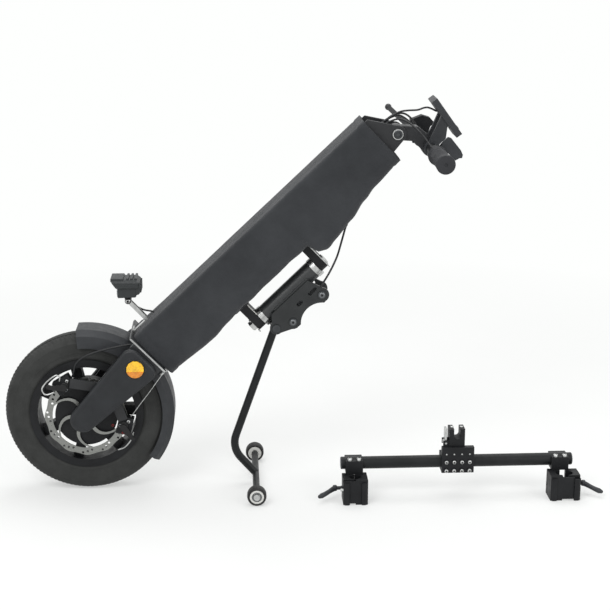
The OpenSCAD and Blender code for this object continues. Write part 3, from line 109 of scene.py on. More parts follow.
AXLE = place(0, 0, AXLE_Z)
COLUMN = place(0, 0, AXLE_Z, TILT)
STEM_X, STEM_Z = on_column(911, -26)
BAR_X, BAR_Z = STEM_X + 73, STEM_Z - 32
STEM = place(STEM_X, 0, STEM_Z)
BAR = place(BAR_X, 0, BAR_Z)
LAMP_X, LAMP_Z = on_column(242, 113)
LAMP = place(LAMP_X, 0, LAMP_Z)
DOCK_X, DOCK_Y, DOCK_Z = 812, -88, 76
DOCK = place(DOCK_X, DOCK_Y, 0)
CLAMP_X, CLAMP_Y = 227.5, -35
RIGHT_OPEN = 12
LEFT_CLAMP = place(DOCK_X - CLAMP_X, DOCK_Y + CLAMP_Y, 0, mirror_x=True)
RIGHT_CLAMP = place(DOCK_X + CLAMP_X, DOCK_Y + CLAMP_Y, 0)


# Materials
WEAVE_PITCH = 0.0016


def linear(rgb):
    return [(c / 255 / 12.92 if c <= 10 else ((c / 255 + 0.055) / 1.055) ** 2.4) for c in rgb]


class Shader:
    """A small builder for one procedural material."""

    def __init__(self, name, rgb, rough, metal=0.0):
        self.mat = bpy.data.materials.new(name)
        self.mat.use_nodes = True
        self.tree = self.mat.node_tree
        self.bsdf = self.tree.nodes["Principled BSDF"]
        self.base = linear(rgb)
        self.mat.diffuse_color = (*self.base, 1)
        self.bsdf.inputs["Base Color"].default_value = (*self.base, 1)
        self.bsdf.inputs["Roughness"].default_value = rough
        self.bsdf.inputs["Metallic"].default_value = metal
        self.coords = self.node("ShaderNodeTexCoord")

    def node(self, kind, **values):
        n = self.tree.nodes.new(kind)
        for key, value in values.items():
            setattr(n, key, value)
        return n

    def link(self, a, b):
        self.tree.links.new(a, b)

    def scaled(self, scale, uv=False):
        m = self.node("ShaderNodeMapping")
        m.inputs["Scale"].default_value = scale if hasattr(scale, "__len__") else (scale,) * 3
        self.link(self.coords.outputs["UV" if uv else "Object"], m.inputs["Vector"])
        return m.outputs["Vector"]

    def noise(self, scale, detail=3.0, rough=0.55):
        n = self.node("ShaderNodeTexNoise")
        n.inputs["Scale"].default_value = 1.0
        n.inputs["Detail"].default_value = detail
        n.inputs["Roughness"].default_value = rough
        self.link(self.scaled(scale), n.inputs["Vector"])
        return n.outputs["Fac"]

    def ramp(self, fac, low, high):
        n = self.node("ShaderNodeMapRange")
        n.inputs["From Min"].default_value = 0.3
        n.inputs["From Max"].default_value = 0.7
        n.inputs["To Min"].default_value = low
        n.inputs["To Max"].default_value = high
        self.link(fac, n.inputs["Value"])
        return n.outputs["Result"]

    def math(self, kind, a, b):
        n = self.node("ShaderNodeMath", operation=kind)
        for socket, value in zip(n.inputs, (a, b)):
            if isinstance(value, (int, float)):
                socket.default_value = value
            else:
                self.link(value, socket)
        return n.outputs[0]

    def mix(self, fac, low_rgb, high_rgb):
        n = self.node("ShaderNodeMix", data_type="RGBA")
        for socket in [i for i in n.inputs if i.type == "RGBA"]:
            socket.default_value = (*linear(low_rgb if socket.identifier.startswith("A") else high_rgb), 1)
        self.link(fac, n.inputs[0])
        self.link([o for o in n.outputs if o.type == "RGBA"][0], self.bsdf.inputs["Base Color"])

    def rough(self, fac, low, high):
        self.link(self.ramp(fac, low, high), self.bsdf.inputs["Roughness"])

    def bump(self, height, depth, strength=1.0):
        n = self.node("ShaderNodeBump")
        n.inputs["Strength"].default_value = strength
        n.inputs["Distance"].default_value = depth
        self.link(height, n.inputs["Height"])
        self.link(n.outputs["Normal"], self.bsdf.inputs["Normal"])
        return self

    def set(self, **values):
        for key, value in values.items():
            self.bsdf.inputs[key.replace("_", " ")].default_value = value
        return self


def painted(name, rgb, rough=0.42, grain=900, spread=5, coat=0.0, depth=0.00012, shine=0.35):
    """A sprayed or moulded finish: soft mottling, uneven gloss and a fine grain."""
    s = Shader(name, rgb, rough)
    patch = s.noise(26, 4.0)
    s.mix(s.ramp(patch, 0, 1), [max(0, c - spread) for c in rgb], [c + spread for c in rgb])
    s.rough(s.noise(60, 4.0), rough - 0.08, rough + 0.08)
    s.bump(s.noise(grain, 2.0), depth)
    s.set(Specular_IOR_Level=shine)
    if coat:
        s.set(Coat_Weight=coat, Coat_Roughness=0.2)
    return s.mat


def brushed(name, rgb, rough=0.3, stretch=(40, 900, 40)):
    """Bright metal with fine drawn lines."""
    s = Shader(name, rgb, rough, 1.0)
    lines = s.noise(stretch, 4.0, 0.7)
    s.mix(s.ramp(lines, 0, 1), [c * 0.82 for c in rgb], [min(255, c * 1.1) for c in rgb])
    s.rough(lines, rough - 0.08, rough + 0.12)
    s.bump(lines, 0.00006)
    return s.mat


def turned(name, rgb, rough=0.32):
    """Ground steel with rings round the axle."""
    s = Shader(name, rgb, rough, 1.0)
    split = s.node("ShaderNodeSeparateXYZ")
    s.link(s.coords.outputs["Object"], split.inputs[0])
    x = s.math("ADD", split.outputs["X"], ORIGIN_X * MM)
    z = s.math("SUBTRACT", split.outputs["Z"], AXLE_Z * MM)
    square = s.math("ADD", s.math("MULTIPLY", x, x), s.math("MULTIPLY", z, z))
    radius = s.math("SQRT", square, 0.5)
    n = s.node("ShaderNodeTexNoise", noise_dimensions="1D")
    n.inputs["Scale"].default_value = 1800
    n.inputs["Detail"].default_value = 3
    s.link(radius, n.inputs["W"])
    s.mix(s.ramp(n.outputs["Fac"], 0, 1), [c * 0.8 for c in rgb], [min(255, c * 1.12) for c in rgb])
    s.rough(s.noise(90), rough - 0.06, rough + 0.1)
    s.bump(n.outputs["Fac"], 0.00005)
    return s.mat


def woven(name, rgb, spread=10):
    """Nylon cloth: a fine basket weave over soft, faded patches."""
    s = Shader(name, rgb, 0.86)
    uv = s.scaled(1.0, uv=True)
    split = s.node("ShaderNodeSeparateXYZ")
    s.link(uv, split.inputs[0])
    waves = []
    for axis in ("X", "Y"):
        angle = s.math("MULTIPLY", split.outputs[axis], 2 * math.pi / WEAVE_PITCH)
        waves.append(s.math("SINE", angle, 0))
    weave = s.math("MULTIPLY", waves[0], waves[1])
    patch = s.noise((9, 14, 9), 5.0, 0.6)
    thread = s.math("MULTIPLY_ADD", weave, 0.06)
    thread.node.inputs[2].default_value = 0.0
    tone = s.math("ADD", s.ramp(patch, 0.12, 0.88), thread)
    s.mix(tone, [c - spread for c in rgb], [c + spread for c in rgb])
    fine = s.math("MULTIPLY", weave, 0.25)
    crease = s.math("ADD", s.math("MULTIPLY", s.noise((34, 60, 34), 4.0), 3.0), fine)
    s.bump(crease, 0.0009, 0.8)
    s.set(Sheen_Weight=0.15, Sheen_Roughness=0.5, Specular_IOR_Level=0.3)
    return s.mat


def prismatic(name, rgb):
    """A moulded reflector: small prisms under a clear amber face, with a faint painted glow."""
    s = Shader(name, rgb, 0.16)
    cells = s.node("ShaderNodeTexVoronoi")
    cells.inputs["Scale"].default_value = 1.0
    s.link(s.scaled(330), cells.inputs["Vector"])
    patch = s.noise(95, 2.0)
    s.mix(s.ramp(patch, 0, 1), [c * 0.86 for c in rgb], [min(255, c * 1.1) for c in rgb])
    s.bump(cells.outputs["Distance"], 0.0012, 0.7)
    s.set(Coat_Weight=0.6, Coat_Roughness=0.06)
    # Painted glow: the reflector gives off a little light in its own colour, though it is no lamp.
    s.bsdf.inputs["Emission Color"].default_value = (*s.base, 1)
    s.set(Emission_Strength=0.12)
    return s.mat


def clear(name, rgb):
    """Clear plastic with faint flow lines."""
    s = Shader(name, rgb, 0.05)
    ribs = s.noise((240, 20, 20), 1.0)
    s.rough(ribs, 0.03, 0.1)
    s.bump(ribs, 0.0004, 0.4)
    s.set(Transmission_Weight=0.85, IOR=1.49)
    return s.mat


BLACK = painted("satin_black", (38, 39, 41), 0.4)
CAST = painted("cast_black", (25, 26, 28), 0.5, grain=500, depth=0.0002, shine=0.22)
TUBE = painted("tube_black", (25, 27, 28), 0.42, grain=1500, depth=0.00005, shine=0.22)
GLOSS = painted("head_tube_black", (44, 46, 47), 0.36, grain=1500, depth=0.00005, shine=0.5)
PLATE = painted("plate_black", (36, 38, 39), 0.42)
PLASTIC = painted("moulded_plastic", (43, 45, 48), 0.5, grain=1300, depth=0.00016)
COVER = painted("cover_plastic", (30, 32, 35), 0.46, grain=1300, depth=0.00016)
FENDER = painted("fender_plastic", (45, 47, 50), 0.52, grain=1300, depth=0.00016)
LAMP_CASE = painted("lamp_case", (45, 48, 49), 0.5, grain=700)
# Black for dark parts, and painted shade where it fills the floor of a bolt's socket.
DARK = painted("black_and_recess_shade", (22, 22, 23), 0.6)
RUBBER = painted("tyre_rubber", (45, 46, 45), 0.72, grain=420, depth=0.0003, spread=6)
GRIP = painted("grip_rubber", (40, 41, 44), 0.7, grain=700, depth=0.0002)
ROLLER = painted("roller_rubber", (32, 32, 32), 0.6, grain=600)
CABLE = painted("cable_jacket", (28, 29, 31), 0.45)
PALE = painted("pale_plastic", (208, 208, 204), 0.4, spread=8)
RED = painted("red_paint", (120, 34, 36), 0.4)
GREY = brushed("satin_alloy", (132, 133, 132), 0.42)
STEEL = brushed("bright_steel", (188, 189, 188), 0.28)
DULL = brushed("dull_steel", (112, 114, 116), 0.4)
PIN = brushed("dark_steel", (76, 78, 80), 0.34)
COPPER = brushed("copper_winding", (168, 103, 58), 0.4, (600, 60, 600))
ROTOR = turned("ground_steel", (140, 141, 138))
FABRIC = woven("woven_nylon", (47, 49, 52))
BINDING = woven("binding_tape", (38, 40, 43), 6)
AMBER = prismatic("amber_prism", (240, 182, 22))
# A darker copy of the amber: painted shade for the reflector's lower sector.
SHADED_AMBER = prismatic("shaded_amber_prism", (204, 122, 10))
LENS = clear("clear_lens", (225, 230, 232))
SCREEN = painted("dark_screen", (20, 22, 26), 0.12, grain=60, depth=0.00001, coat=0.8)
WRAP = painted("battery_wrap", (30, 48, 70), 0.3)


# Mesh tools; angles in degrees
SHARP_ANGLE = 38
BEVEL_ANGLE = 28
SOLID_BEVEL_ANGLE = 32
FLAT_ANGLE = 1.2
WELD = 2e-6
PATH_STEPS = 6
# Shares of a bolt head's radius and height; the socket's floor is a black hexagon of painted shade
BUTTON_HEAD = [(0, 0), (1, 0), (1, 0.45), (0.82, 0.86), (0.56, 1), (0.5, 1), (0.46, 0.35), (0, 0.35)]
SOCKET_SHADE_FLOOR = [(0, 0.36), (0.45, 0.36), (0.45, 0.44), (0, 0.44)]


def folded(part, angle):
    """The edges of a mesh where two faces meet at more than an angle."""
    return [e for e in part.edges if len(e.link_faces) == 2 and e.calc_face_angle(0) > math.radians(angle)]


def soften(part, bevel, segments, angle=BEVEL_ANGLE):
    if bevel > 0:
        bmesh.ops.bevel(part, geom=folded(part, angle), offset=bevel, offset_type="OFFSET", segments=segments,
                        profile=0.5, affect="EDGES", clamp_overlap=True)


class Kit:
    """Collects shapes, each made in a millimetre frame, into one object."""

    def __init__(self, name):
        self.name = name
        self.bm = bmesh.new()
        self.mats = []

    def take(self, part, at, mat, sharp=SHARP_ANGLE):
        bmesh.ops.transform(part, matrix=at, verts=part.verts)
        bmesh.ops.recalc_face_normals(part, faces=part.faces)
        if mat not in self.mats:
            self.mats.append(mat)
        for f in part.faces:
            f.material_index = self.mats.index(mat)
            f.smooth = True
        for e in folded(part, sharp):
            e.smooth = False
        mesh = bpy.data.meshes.new("part")
        part.to_mesh(mesh)
        part.free()
        self.bm.from_mesh(mesh)
        bpy.data.meshes.remove(mesh)
        return self

    def extrude(self, outline, low, high, at, mat, axis="Y", bevel=1.0, segments=3, holes=()):
        """A plate of an outline, given across its axis, with soft edges."""
        part = bmesh.new()

        def point(a, b, c):
            return {"Y": (a, c, b), "Z": (a, b, c), "X": (c, a, b)}[axis]

        loops = []
        for loop in (outline, *holes):
            verts = [part.verts.new(point(a, b, low)) for a, b in loop]
            loops.append([part.edges.new((verts[i], verts[i - 1])) for i in range(len(verts))])
        if holes:
            bmesh.ops.triangle_fill(part, use_beauty=True, edges=part.edges[:])
            bmesh.ops.dissolve_limit(part, angle_limit=0.01, verts=part.verts, edges=part.edges)
        else:
            part.faces.new([e.verts[0] for e in loops[0]])
        faces = bmesh.ops.extrude_face_region(part, geom=part.faces[:])
        moved = [g for g in faces["geom"] if isinstance(g, bmesh.types.BMVert)]
        bmesh.ops.translate(part, verts=moved, vec=Vector(point(0, 0, high - low)))
        bmesh.ops.recalc_face_normals(part, faces=part.faces)
        soften(part, bevel, segments)
        return self.take(part, at, mat)

    def wrap(self, points, at, mat, bevel=1.0, segments=3):
        """The convex solid over some points, with soft edges."""
        part = bmesh.new()
        for p in points:
            part.verts.new(p)
        bmesh.ops.convex_hull(part, input=part.verts)
        bmesh.ops.dissolve_limit(part, angle_limit=0.02, verts=part.verts, edges=part.edges)
        soften(part, bevel, segments)
        return self.take(part, at, mat)

    def block(self, low, high, at, mat, bevel=1.0, segments=3):
        box = [(low[0], low[2]), (high[0], low[2]), (high[0], high[2]), (low[0], high[2])]
        return self.extrude(box, low[1], high[1], at, mat, "Y", bevel, segments)

    def lathe(self, profile, at, mat, axis="Y", steps=64, loop=False, wave=None, sharp=SHARP_ANGLE):
        """A turned shape from (radius, along) points; wave(radius, along, turn) may shift the radius."""
        part = bmesh.new()
        rings = []
        for radius, along in profile:
            ring = []
            for k in range(1 if radius == 0 else steps):
                turn = 2 * math.pi * k / steps
                r = radius + (wave(radius, along, turn) if wave else 0)
                a, b = r * math.cos(turn), r * math.sin(turn)
                spot = {"Y": (a, along, b), "Z": (a, b, along), "X": (along, a, b)}[axis]
                ring.append(part.verts.new(spot))
            rings.append(ring)
        pairs = list(zip(rings, rings[1:])) + ([(rings[-1], rings[0])] if loop else [])
        for one, two in pairs:
            for k in range(steps):
                n = (k + 1) % steps
                corners = [one[k % len(one)], one[n % len(one)], two[n % len(two)], two[k % len(two)]]
                unique = list(dict.fromkeys(corners))
                if len(unique) > 2:
                    part.faces.new(unique)
        for ring in () if loop else (rings[0], rings[-1]):
            if len(ring) > 2:
                part.faces.new(ring)
        return self.take(part, at, mat, sharp=sharp)

    def tube(self, points, radius, at, mat, sides):
        """A round tube along a smoothed path; radius may be a list, one for each point."""
        path = smooth_path(points)
        radii = radius if hasattr(radius, "__len__") else [radius] * len(points)
        part = bmesh.new()
        rings = []
        side = None
        for i, p in enumerate(path):
            ahead = (path[min(i + 1, len(path) - 1)] - path[max(i - 1, 0)]).normalized()
            if side is None:
                side = ahead.orthogonal().normalized()
            side = (side - ahead * side.dot(ahead)).normalized()
            other = ahead.cross(side)
            share = i * (len(points) - 1) / (len(path) - 1)
            k = min(int(share), len(points) - 2)
            r = radii[k] + (radii[k + 1] - radii[k]) * (share - k)
            turns = [2 * math.pi * j / sides for j in range(sides)]
            ring = [p + side * r * math.cos(a) + other * r * math.sin(a) for a in turns]
            rings.append([part.verts.new(spot) for spot in ring])
        for one, two in zip(rings, rings[1:]):
            for j in range(sides):
                n = (j + 1) % sides
                part.faces.new((one[j], one[n], two[n], two[j]))
        part.faces.new(rings[0])
        part.faces.new(rings[-1])
        return self.take(part, at, mat)

    def ball(self, centre, radius, at, mat):
        part = bmesh.new()
        bmesh.ops.create_uvsphere(part, u_segments=28, v_segments=18, radius=radius)
        bmesh.ops.translate(part, verts=part.verts, vec=Vector(centre))
        return self.take(part, at, mat)

    def bolt(self, centre, radius, height, at, mat, axis="Y", way=-1):
        """A button head with a hex socket, standing out along its axis; the socket's floor is painted shade
        in black.
        """
        flip = Matrix.Diagonal({"Y": (1, way, 1, 1), "Z": (1, 1, way, 1), "X": (way, 1, 1, 1)}[axis])
        seat = at @ Matrix.Translation(centre) @ flip
        # A black hexagon at the socket's floor: painted shade in the hole.
        self.lathe([(radius * r, height * h) for r, h in SOCKET_SHADE_FLOOR], seat, DARK, axis, 6)
        return self.lathe([(radius * r, height * h) for r, h in BUTTON_HEAD], seat, mat, axis, 24)

    def done(self, body, replaced=None, slot=None, weighted=True):
        """The finished object; it rides on a body and may stand for a node of the solids."""
        mesh = bpy.data.meshes.new(self.name)
        self.bm.to_mesh(mesh)
        self.bm.free()
        for m in self.mats:
            mesh.materials.append(m)
        obj = bpy.data.objects.new(self.name, mesh)
        bpy.context.scene.collection.objects.link(obj)
        if weighted:
            even(obj)
        if body:
            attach(obj, body)
        if replaced:
            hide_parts(replaced)
        return obj


def even(obj):
    """Weights the normals so that flat faces look flat beside soft edges."""
    m = obj.modifiers.new("even", "WEIGHTED_NORMAL")
    m.keep_sharp = True
    m.weight = 80
    done = bpy.data.meshes.new_from_object(obj.evaluated_get(bpy.context.evaluated_depsgraph_get()))
    obj.modifiers.clear()
    old = obj.data
    obj.data = done
    done.name = obj.name
    bpy.data.meshes.remove(old)


def smooth_path(points):
    """Catmull-Rom points through a route."""
    pts = [Vector(p) for p in points]
    ends = [pts[0] * 2 - pts[1]] + pts + [pts[-1] * 2 - pts[-2]]
    out = []
    for i in range(1, len(ends) - 2):
        a, b, c, d = ends[i - 1:i + 3]
        for k in range(PATH_STEPS):
            t = k / PATH_STEPS
            out.append(0.5 * (2 * b + (c - a) * t + (2 * a - 5 * b + 4 * c - d) * t * t
                              + (3 * b - a - 3 * c + d) * t ** 3))
    return out + [pts[-1]]


def circle(cx, cy, r, start=0.0, stop=360.0, steps=32):
    """Points on a circle or an arc; a full turn leaves out its last point."""
    n = max(2, int(steps * abs(stop - start) / 360))
    last = n if abs(stop - start) < 359.9 else n - 1
    turns = [math.radians(start + (stop - start) * k / n) for k in range(last + 1)]
    return [(cx + r * math.cos(a), cy + r * math.sin(a)) for a in turns]


def around(points):
    """The convex outline of a set of points."""
    pts = sorted(set((round(x, 4), round(y, 4)) for x, y in points))

    def half(seq):
        out = []
        for p in seq:
            while len(out) > 1 and ((out[-1][0] - out[-2][0]) * (p[1] - out[-2][1])
                                    - (out[-1][1] - out[-2][1]) * (p[0] - out[-2][0])) <= 0:
                out.pop()
            out.append(p)
        return out[:-1]

    return half(pts) + half(reversed(pts))


def dress(node, mat, bevel=0.8, segments=2, extra=None, shape=None):
    """A copy of a solid with soft edges and its own finish; it stands for the node.

    shape may move its points first, and extra may add to its kit.
    """
    source = nodes[node]
    part = bmesh.new()
    part.from_mesh(source.data)
    bmesh.ops.remove_doubles(part, verts=part.verts, dist=WELD)
    bmesh.ops.dissolve_limit(part, angle_limit=math.radians(FLAT_ANGLE), verts=part.verts, edges=part.edges)
    for vert in part.verts if shape else ():
        vert.co = shape(vert.co)
    soften(part, bevel * MM, segments, SOLID_BEVEL_ANGLE)
    kit = Kit(node + "_look").take(part, Matrix.Identity(4), mat)
    if extra:
        extra(kit)
    return kit.done(source["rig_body"], node)


# Cables, laid on the routes that the solids take
def cable(name, body, route, radius, at, mat, node, cross=None):
    """One cable; cross is (body, body, start, end) where it spans a joint."""
    obj = Kit(name).tube(route, radius, at, mat, 16).done(None if cross else body, node, "cable_black", False)
    if cross:
        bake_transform(obj)


PERCH_IN = 94
THROTTLE_IN = 94


def led(shares, lead):
    """A route whose sideways places are shares of the distance to its perch."""
    return [(x, share * lead, z) for x, share, z in shares]


LEVER_CABLE = [(64.7, 0.997, -19.5), (63, 0.91, -18.5), (55, 0.81, -7), (40, 0.7, 9), (24, 0.51, 23),
               (9, 0.32, 31), (-8, 0.2, 29), (-24, 0.15, 20), (-40, 0.13, 9), (-52, 0.12, -2)]
SECOND_CABLE = [(59.5, 0.997, -25.5), (60, 0.91, -24.5), (59, 0.79, -13), (49, 0.66, 7), (35, 0.45, 25),
                (18, 0.26, 36), (-2, 0.13, 36), (-20, 0.06, 26), (-38, 0.04, 13), (-52, 0.04, 0)]
THROTTLE_CABLE = [(64, -0.995, -19), (62, -0.91, -16), (52.8, -0.79, -3.1), (38.4, -0.64, 12.7),
                  (22, -0.47, 25.5), (5.2, -0.32, 31.4), (-11.6, -0.24, 27.2), (-28.8, -0.21, 17.1),
                  (-42, -0.21, 6), (-52, -0.21, -4)]
DISPLAY_CABLE = [(-52, -12, 0), (-44, -12, 10), (-32, -12, 21), (-17, -12, 31), (-3, -12, 40),
                 (9, -12, 45), (24, -12, 47), (44, -12, 48), (56, -12, 52), (65, -12, 53), (74, -12, 50),
                 (80, -12, 47), (84.6, -12, 45)]
FRONT_CABLE = [(195, -52, 40), (182, -52, 51), (160, -53, 66), (134, -54, 82), (110, -55, 94),
               (90, -55, 100), (74, -54, 100), (61, -52, 94), (50, -50.5, 87), (40, -50, 83.2)]
REAR_WIRE = [(196, -60, -45), (170, -59, -50), (140, -57, -56), (105, -54, -62), (68, -51, -69.2)]
LAMP_CABLE = [(260, 12, 53.4), (256, 12, 60), (248, 12.4, 71), (243, 12.6, 84), (242, 12.4, 97),
              (243, 12, 109)]
RELEASE_CABLE = [(698, -8, -97), (690, -10, -101), (676, -13, -109), (660, -17, -118), (640, -22, -129),
                 (622, -28, -136), (606, -33, -141), (592, -35.4, -145), (578, -34, -149),
                 (566, -33.2, -152)]
BRAKE_R, CONTROL_R, RELEASE_R, LAMP_R, WIRE_R = 2.2, 2.0, 2.2, 2.0, 1.1
STEM_ROOT = STEM @ Vector((-50, 0, 0))
STEM_TIP = STEM @ Vector((30, 0, 0))
STEM_JOINT = ("column", "handlebar", STEM_ROOT, STEM_TIP)
cable("brake_lever_cable", "handlebar", led(LEVER_CABLE, PERCH_IN), BRAKE_R, STEM, CABLE, "control_cables",
      cross=STEM_JOINT)
cable("second_brake_cable", "handlebar", led(SECOND_CABLE, PERCH_IN), BRAKE_R, STEM, CABLE, "control_cables",
      cross=STEM_JOINT)
cable("throttle_cable", "handlebar", led(THROTTLE_CABLE, THROTTLE_IN), CONTROL_R, STEM, CABLE,
      "control_cables", cross=STEM_JOINT)
cable("display_cable", "handlebar", DISPLAY_CABLE, CONTROL_R, STEM, CABLE, "control_cables", cross=STEM_JOINT)
cable("front_brake_cable", "column", FRONT_CABLE, BRAKE_R, COLUMN, CABLE, "brake_cables")
cable("rear_brake_wire", "column", REAR_WIRE, WIRE_R, COLUMN, STEEL, "brake_cables")
cable("headlight_cable", "column", LAMP_CABLE, LAMP_R, COLUMN, CABLE, "brake_cables",
      cross=("column", "headlight", COLUMN @ Vector((258, 0, 56)), COLUMN @ Vector((243, 0, 106))))
cable("latch_release_cable", "dock_bracket", RELEASE_CABLE, RELEASE_R, COLUMN, CABLE, "release_cable",
      cross=("column", "dock_bracket", COLUMN @ Vector((696, 0, -98)), COLUMN @ Vector((600, 0, -142))))


# Solids that show as they are, each with its own finish
LOOKS = {
    "magnet_ring": DULL, "wheel_bearings": STEEL, "brake_rotor": ROTOR, "axle": STEEL, "motor_stator": COPPER,
    "battery_pack": WRAP, "controller": GREY, "roller_bolts": STEEL, "handlebar_tube": TUBE,
    "display_screen": SCREEN, "dock_tube": TUBE,
}
for node, mat in LOOKS.items():
    nodes[node].data.materials.clear()
    nodes[node].data.materials.append(mat)


# Fabric sleeve: a stretched cover with soft bulges, creases, hems and a closing flap
SLEEVE_LOW, SLEEVE_HIGH = 203.4, 878.0
SLEEVE_HALF, SLEEVE_BACK = 55.0, 100.0
FRONT_LOW, FRONT_HIGH = 52.0, 46.0
SLEEVE_T = 2.2
BACK_SHARES = [(0, 0.63), (0.18, 0.71), (0.28, 0.655), (0.6, 0.65), (0.618, 0.93), (0.642, 1.0),
               (0.685, 0.97), (0.76, 0.9), (0.835, 0.79), (0.885, 0.73), (1, 0.685)]
FRONT_CORNER_R, BACK_CORNER_R, LEAST_CORNER_R = 9, 15, 2.0
CORNER_STEPS, SIDE_STEPS, STATIONS = 5, 15, 135
HEM_W, STITCH_W = 15, 6
ARMS = [(401, 421), (590, 608)]
ARM_HALF = 18.0


def share_at(t):
    """The sleeve's depth behind the axle's line, eased between its chosen points."""
    for (a, va), (b, vb) in zip(BACK_SHARES, BACK_SHARES[1:]):
        if t <= b:
            k = (t - a) / (b - a)
            return va + (vb - va) * k * k * (3 - 2 * k)
    return BACK_SHARES[-1][1]


def ring_of(back, front, inset):
    """Points round the sleeve's section: place, outward way, face and share across that face."""
    half, front, back = SLEEVE_HALF - inset, front - inset, back - inset
    corners = [(-half, front, FRONT_CORNER_R, 180, 90), (half, front, FRONT_CORNER_R, 90, 0),
               (half, -back, BACK_CORNER_R, 0, -90), (-half, -back, BACK_CORNER_R, -90, -180)]
    pts = []
    for i, (y, h, r, a, b) in enumerate(corners):
        r = max(LEAST_CORNER_R, r - inset)
        cy = y + (r if y < 0 else -r)
        ch = h + (r if h < 0 else -r)
        for k in range(CORNER_STEPS + 1):
            t = math.radians(a + (b - a) * k / CORNER_STEPS)
            pts.append((cy + r * math.cos(t), ch + r * math.sin(t), math.cos(t), math.sin(t), i, 0.0))
        y2, h2, r2, a2 = corners[(i + 1) % 4][:4]
        r2 = max(LEAST_CORNER_R, r2 - inset)
        ny, nh = math.cos(math.radians(b)), math.sin(math.radians(b))
        ey = y2 + (r2 if y2 < 0 else -r2) + r2 * math.cos(math.radians(a2))
        eh = h2 + (r2 if h2 < 0 else -r2) + r2 * math.sin(math.radians(a2))
        sy, sh = pts[-1][:2]
        for k in range(1, SIDE_STEPS):
            share = k / SIDE_STEPS
            pts.append((sy + (ey - sy) * k / SIDE_STEPS, sh + (eh - sh) * k / SIDE_STEPS, ny, nh, i, share))
    return pts


def puff(s, t, y, h, face, across):
    """How far the cloth stands off its section, in millimetres."""
    flat = math.sin(math.pi * across) if across else 0.0
    side = face in (1, 3)
    lift = flat * ((2.6 if side else 1.2) + 1.2 * noise.noise((s * 0.009, face * 7.3, 1.7)))
    lift += flat * 1.3 * noise.noise((s * 0.021 + h * 0.012, y * 0.02, face * 3.1 + h * 0.017))
    fold = noise.noise((s * 0.013 + h * 0.026, h * 0.006 - s * 0.004, face * 5.7))
    lift += 1.9 * max(0.0, 1 - abs(fold) * 9) * flat * (0.35 + abs(noise.noise((s * 0.006, face, 8.2))))
    for low, high in ARMS:
        reach = (s - (low + high) / 2) / 60
        near = math.exp(-reach * reach) * max(0.0, (-h - 5) / 60)
        lift += near * 1.5 * math.sin(h * 0.16 + s * 0.09 + face)
    loose = math.exp(-(((t - 0.03) / 0.07) ** 2))
    lift += loose * (1.8 * noise.noise((y * 0.03, h * 0.045, 4.4)) + 0.8)
    lift += 0.7 * noise.noise((s * 0.05, y * 0.04, h * 0.05)) * (0.4 + flat)
    return lift


def sleeve():
    """The whole cover: an outer and an inner skin, joined at both hems."""
    part = bmesh.new()
    uv = part.loops.layers.uv.new("weave")
    shells = []
    for inset, side in ((0.0, 1), (SLEEVE_T, -1)):
        rings = []
        for i in range(STATIONS + 1):
            t = i / STATIONS
            s = SLEEVE_LOW + (SLEEVE_HIGH - SLEEVE_LOW) * t
            ring = []
            front = FRONT_LOW + (FRONT_HIGH - FRONT_LOW) * t
            for y, h, ny, nh, face, across in ring_of(SLEEVE_BACK * share_at(t), front, inset):
                off = puff(s, t, y, h, face, across)
                ends = min(s - SLEEVE_LOW, SLEEVE_HIGH - s)
                off *= min(1.0, 0.35 + ends / 40)
                if side > 0:
                    off += 0.9 if ends < HEM_W else (-0.7 if ends < HEM_W + STITCH_W else 0.0)
                    if face == 2 and 0.28 < across < 0.72:
                        off += 1.3
                    if face in (0, 2) and (across < 0.08 or across > 0.93):
                        off += 0.5
                ring.append(part.verts.new((s, y + ny * off, h + nh * off)))
            rings.append(ring)
        shells.append(rings)
    count = len(shells[0][0])

    def face_of(corners, uvs):
        f = part.faces.new(corners)
        for loop, (u, v) in zip(f.loops, uvs):
            loop[uv].uv = (u, v)

    for rings in shells:
        girth = [0.0]
        for k in range(count):
            girth.append(girth[-1] + (rings[0][(k + 1) % count].co - rings[0][k].co).length * MM)
        step = (SLEEVE_HIGH - SLEEVE_LOW) / STATIONS * MM
        for i in range(STATIONS):
            for k in range(count):
                n = (k + 1) % count
                face_of((rings[i][k], rings[i][n], rings[i + 1][n], rings[i + 1][k]),
                        ((girth[k], i * step), (girth[k + 1], i * step), (girth[k + 1], (i + 1) * step),
                         (girth[k], (i + 1) * step)))
    for end in (0, -1):
        for k in range(count):
            n = (k + 1) % count
            corners = (shells[0][end][k], shells[0][end][n], shells[1][end][n], shells[1][end][k])
            face_of(corners, ((0, 0), (0.002, 0), (0.002, 0.002), (0, 0.002)))
    kit = Kit("fabric_sleeve_look")
    return kit.take(part, COLUMN, FABRIC, sharp=60).done("column", "fabric_sleeve", "sleeve_fabric", False)


sleeve_piece = sleeve()
hems = Kit("sleeve_bindings")
for s_low, s_high in ARMS:
    back = SLEEVE_BACK * share_at(((s_low + s_high) / 2 - SLEEVE_LOW) / (SLEEVE_HIGH - SLEEVE_LOW))
    inner, outer = ([(s_low - gap, -ARM_HALF - gap), (s_high + gap, -ARM_HALF - gap),
                     (s_high + gap, ARM_HALF + gap), (s_low - gap, ARM_HALF + gap)] for gap in (1, 9))
    hems.extrude(outer, -back - 4.6, -back - 1.0, COLUMN, BINDING, "Z", 0.8, 2, holes=(inner,))
hems.tube([(703, -6, -89), (700, -7.4, -94), (696, -8.5, -98.2)], 3.4, COLUMN, BINDING, 16)
binding_piece = hems.done("column", None, "sleeve_fabric")


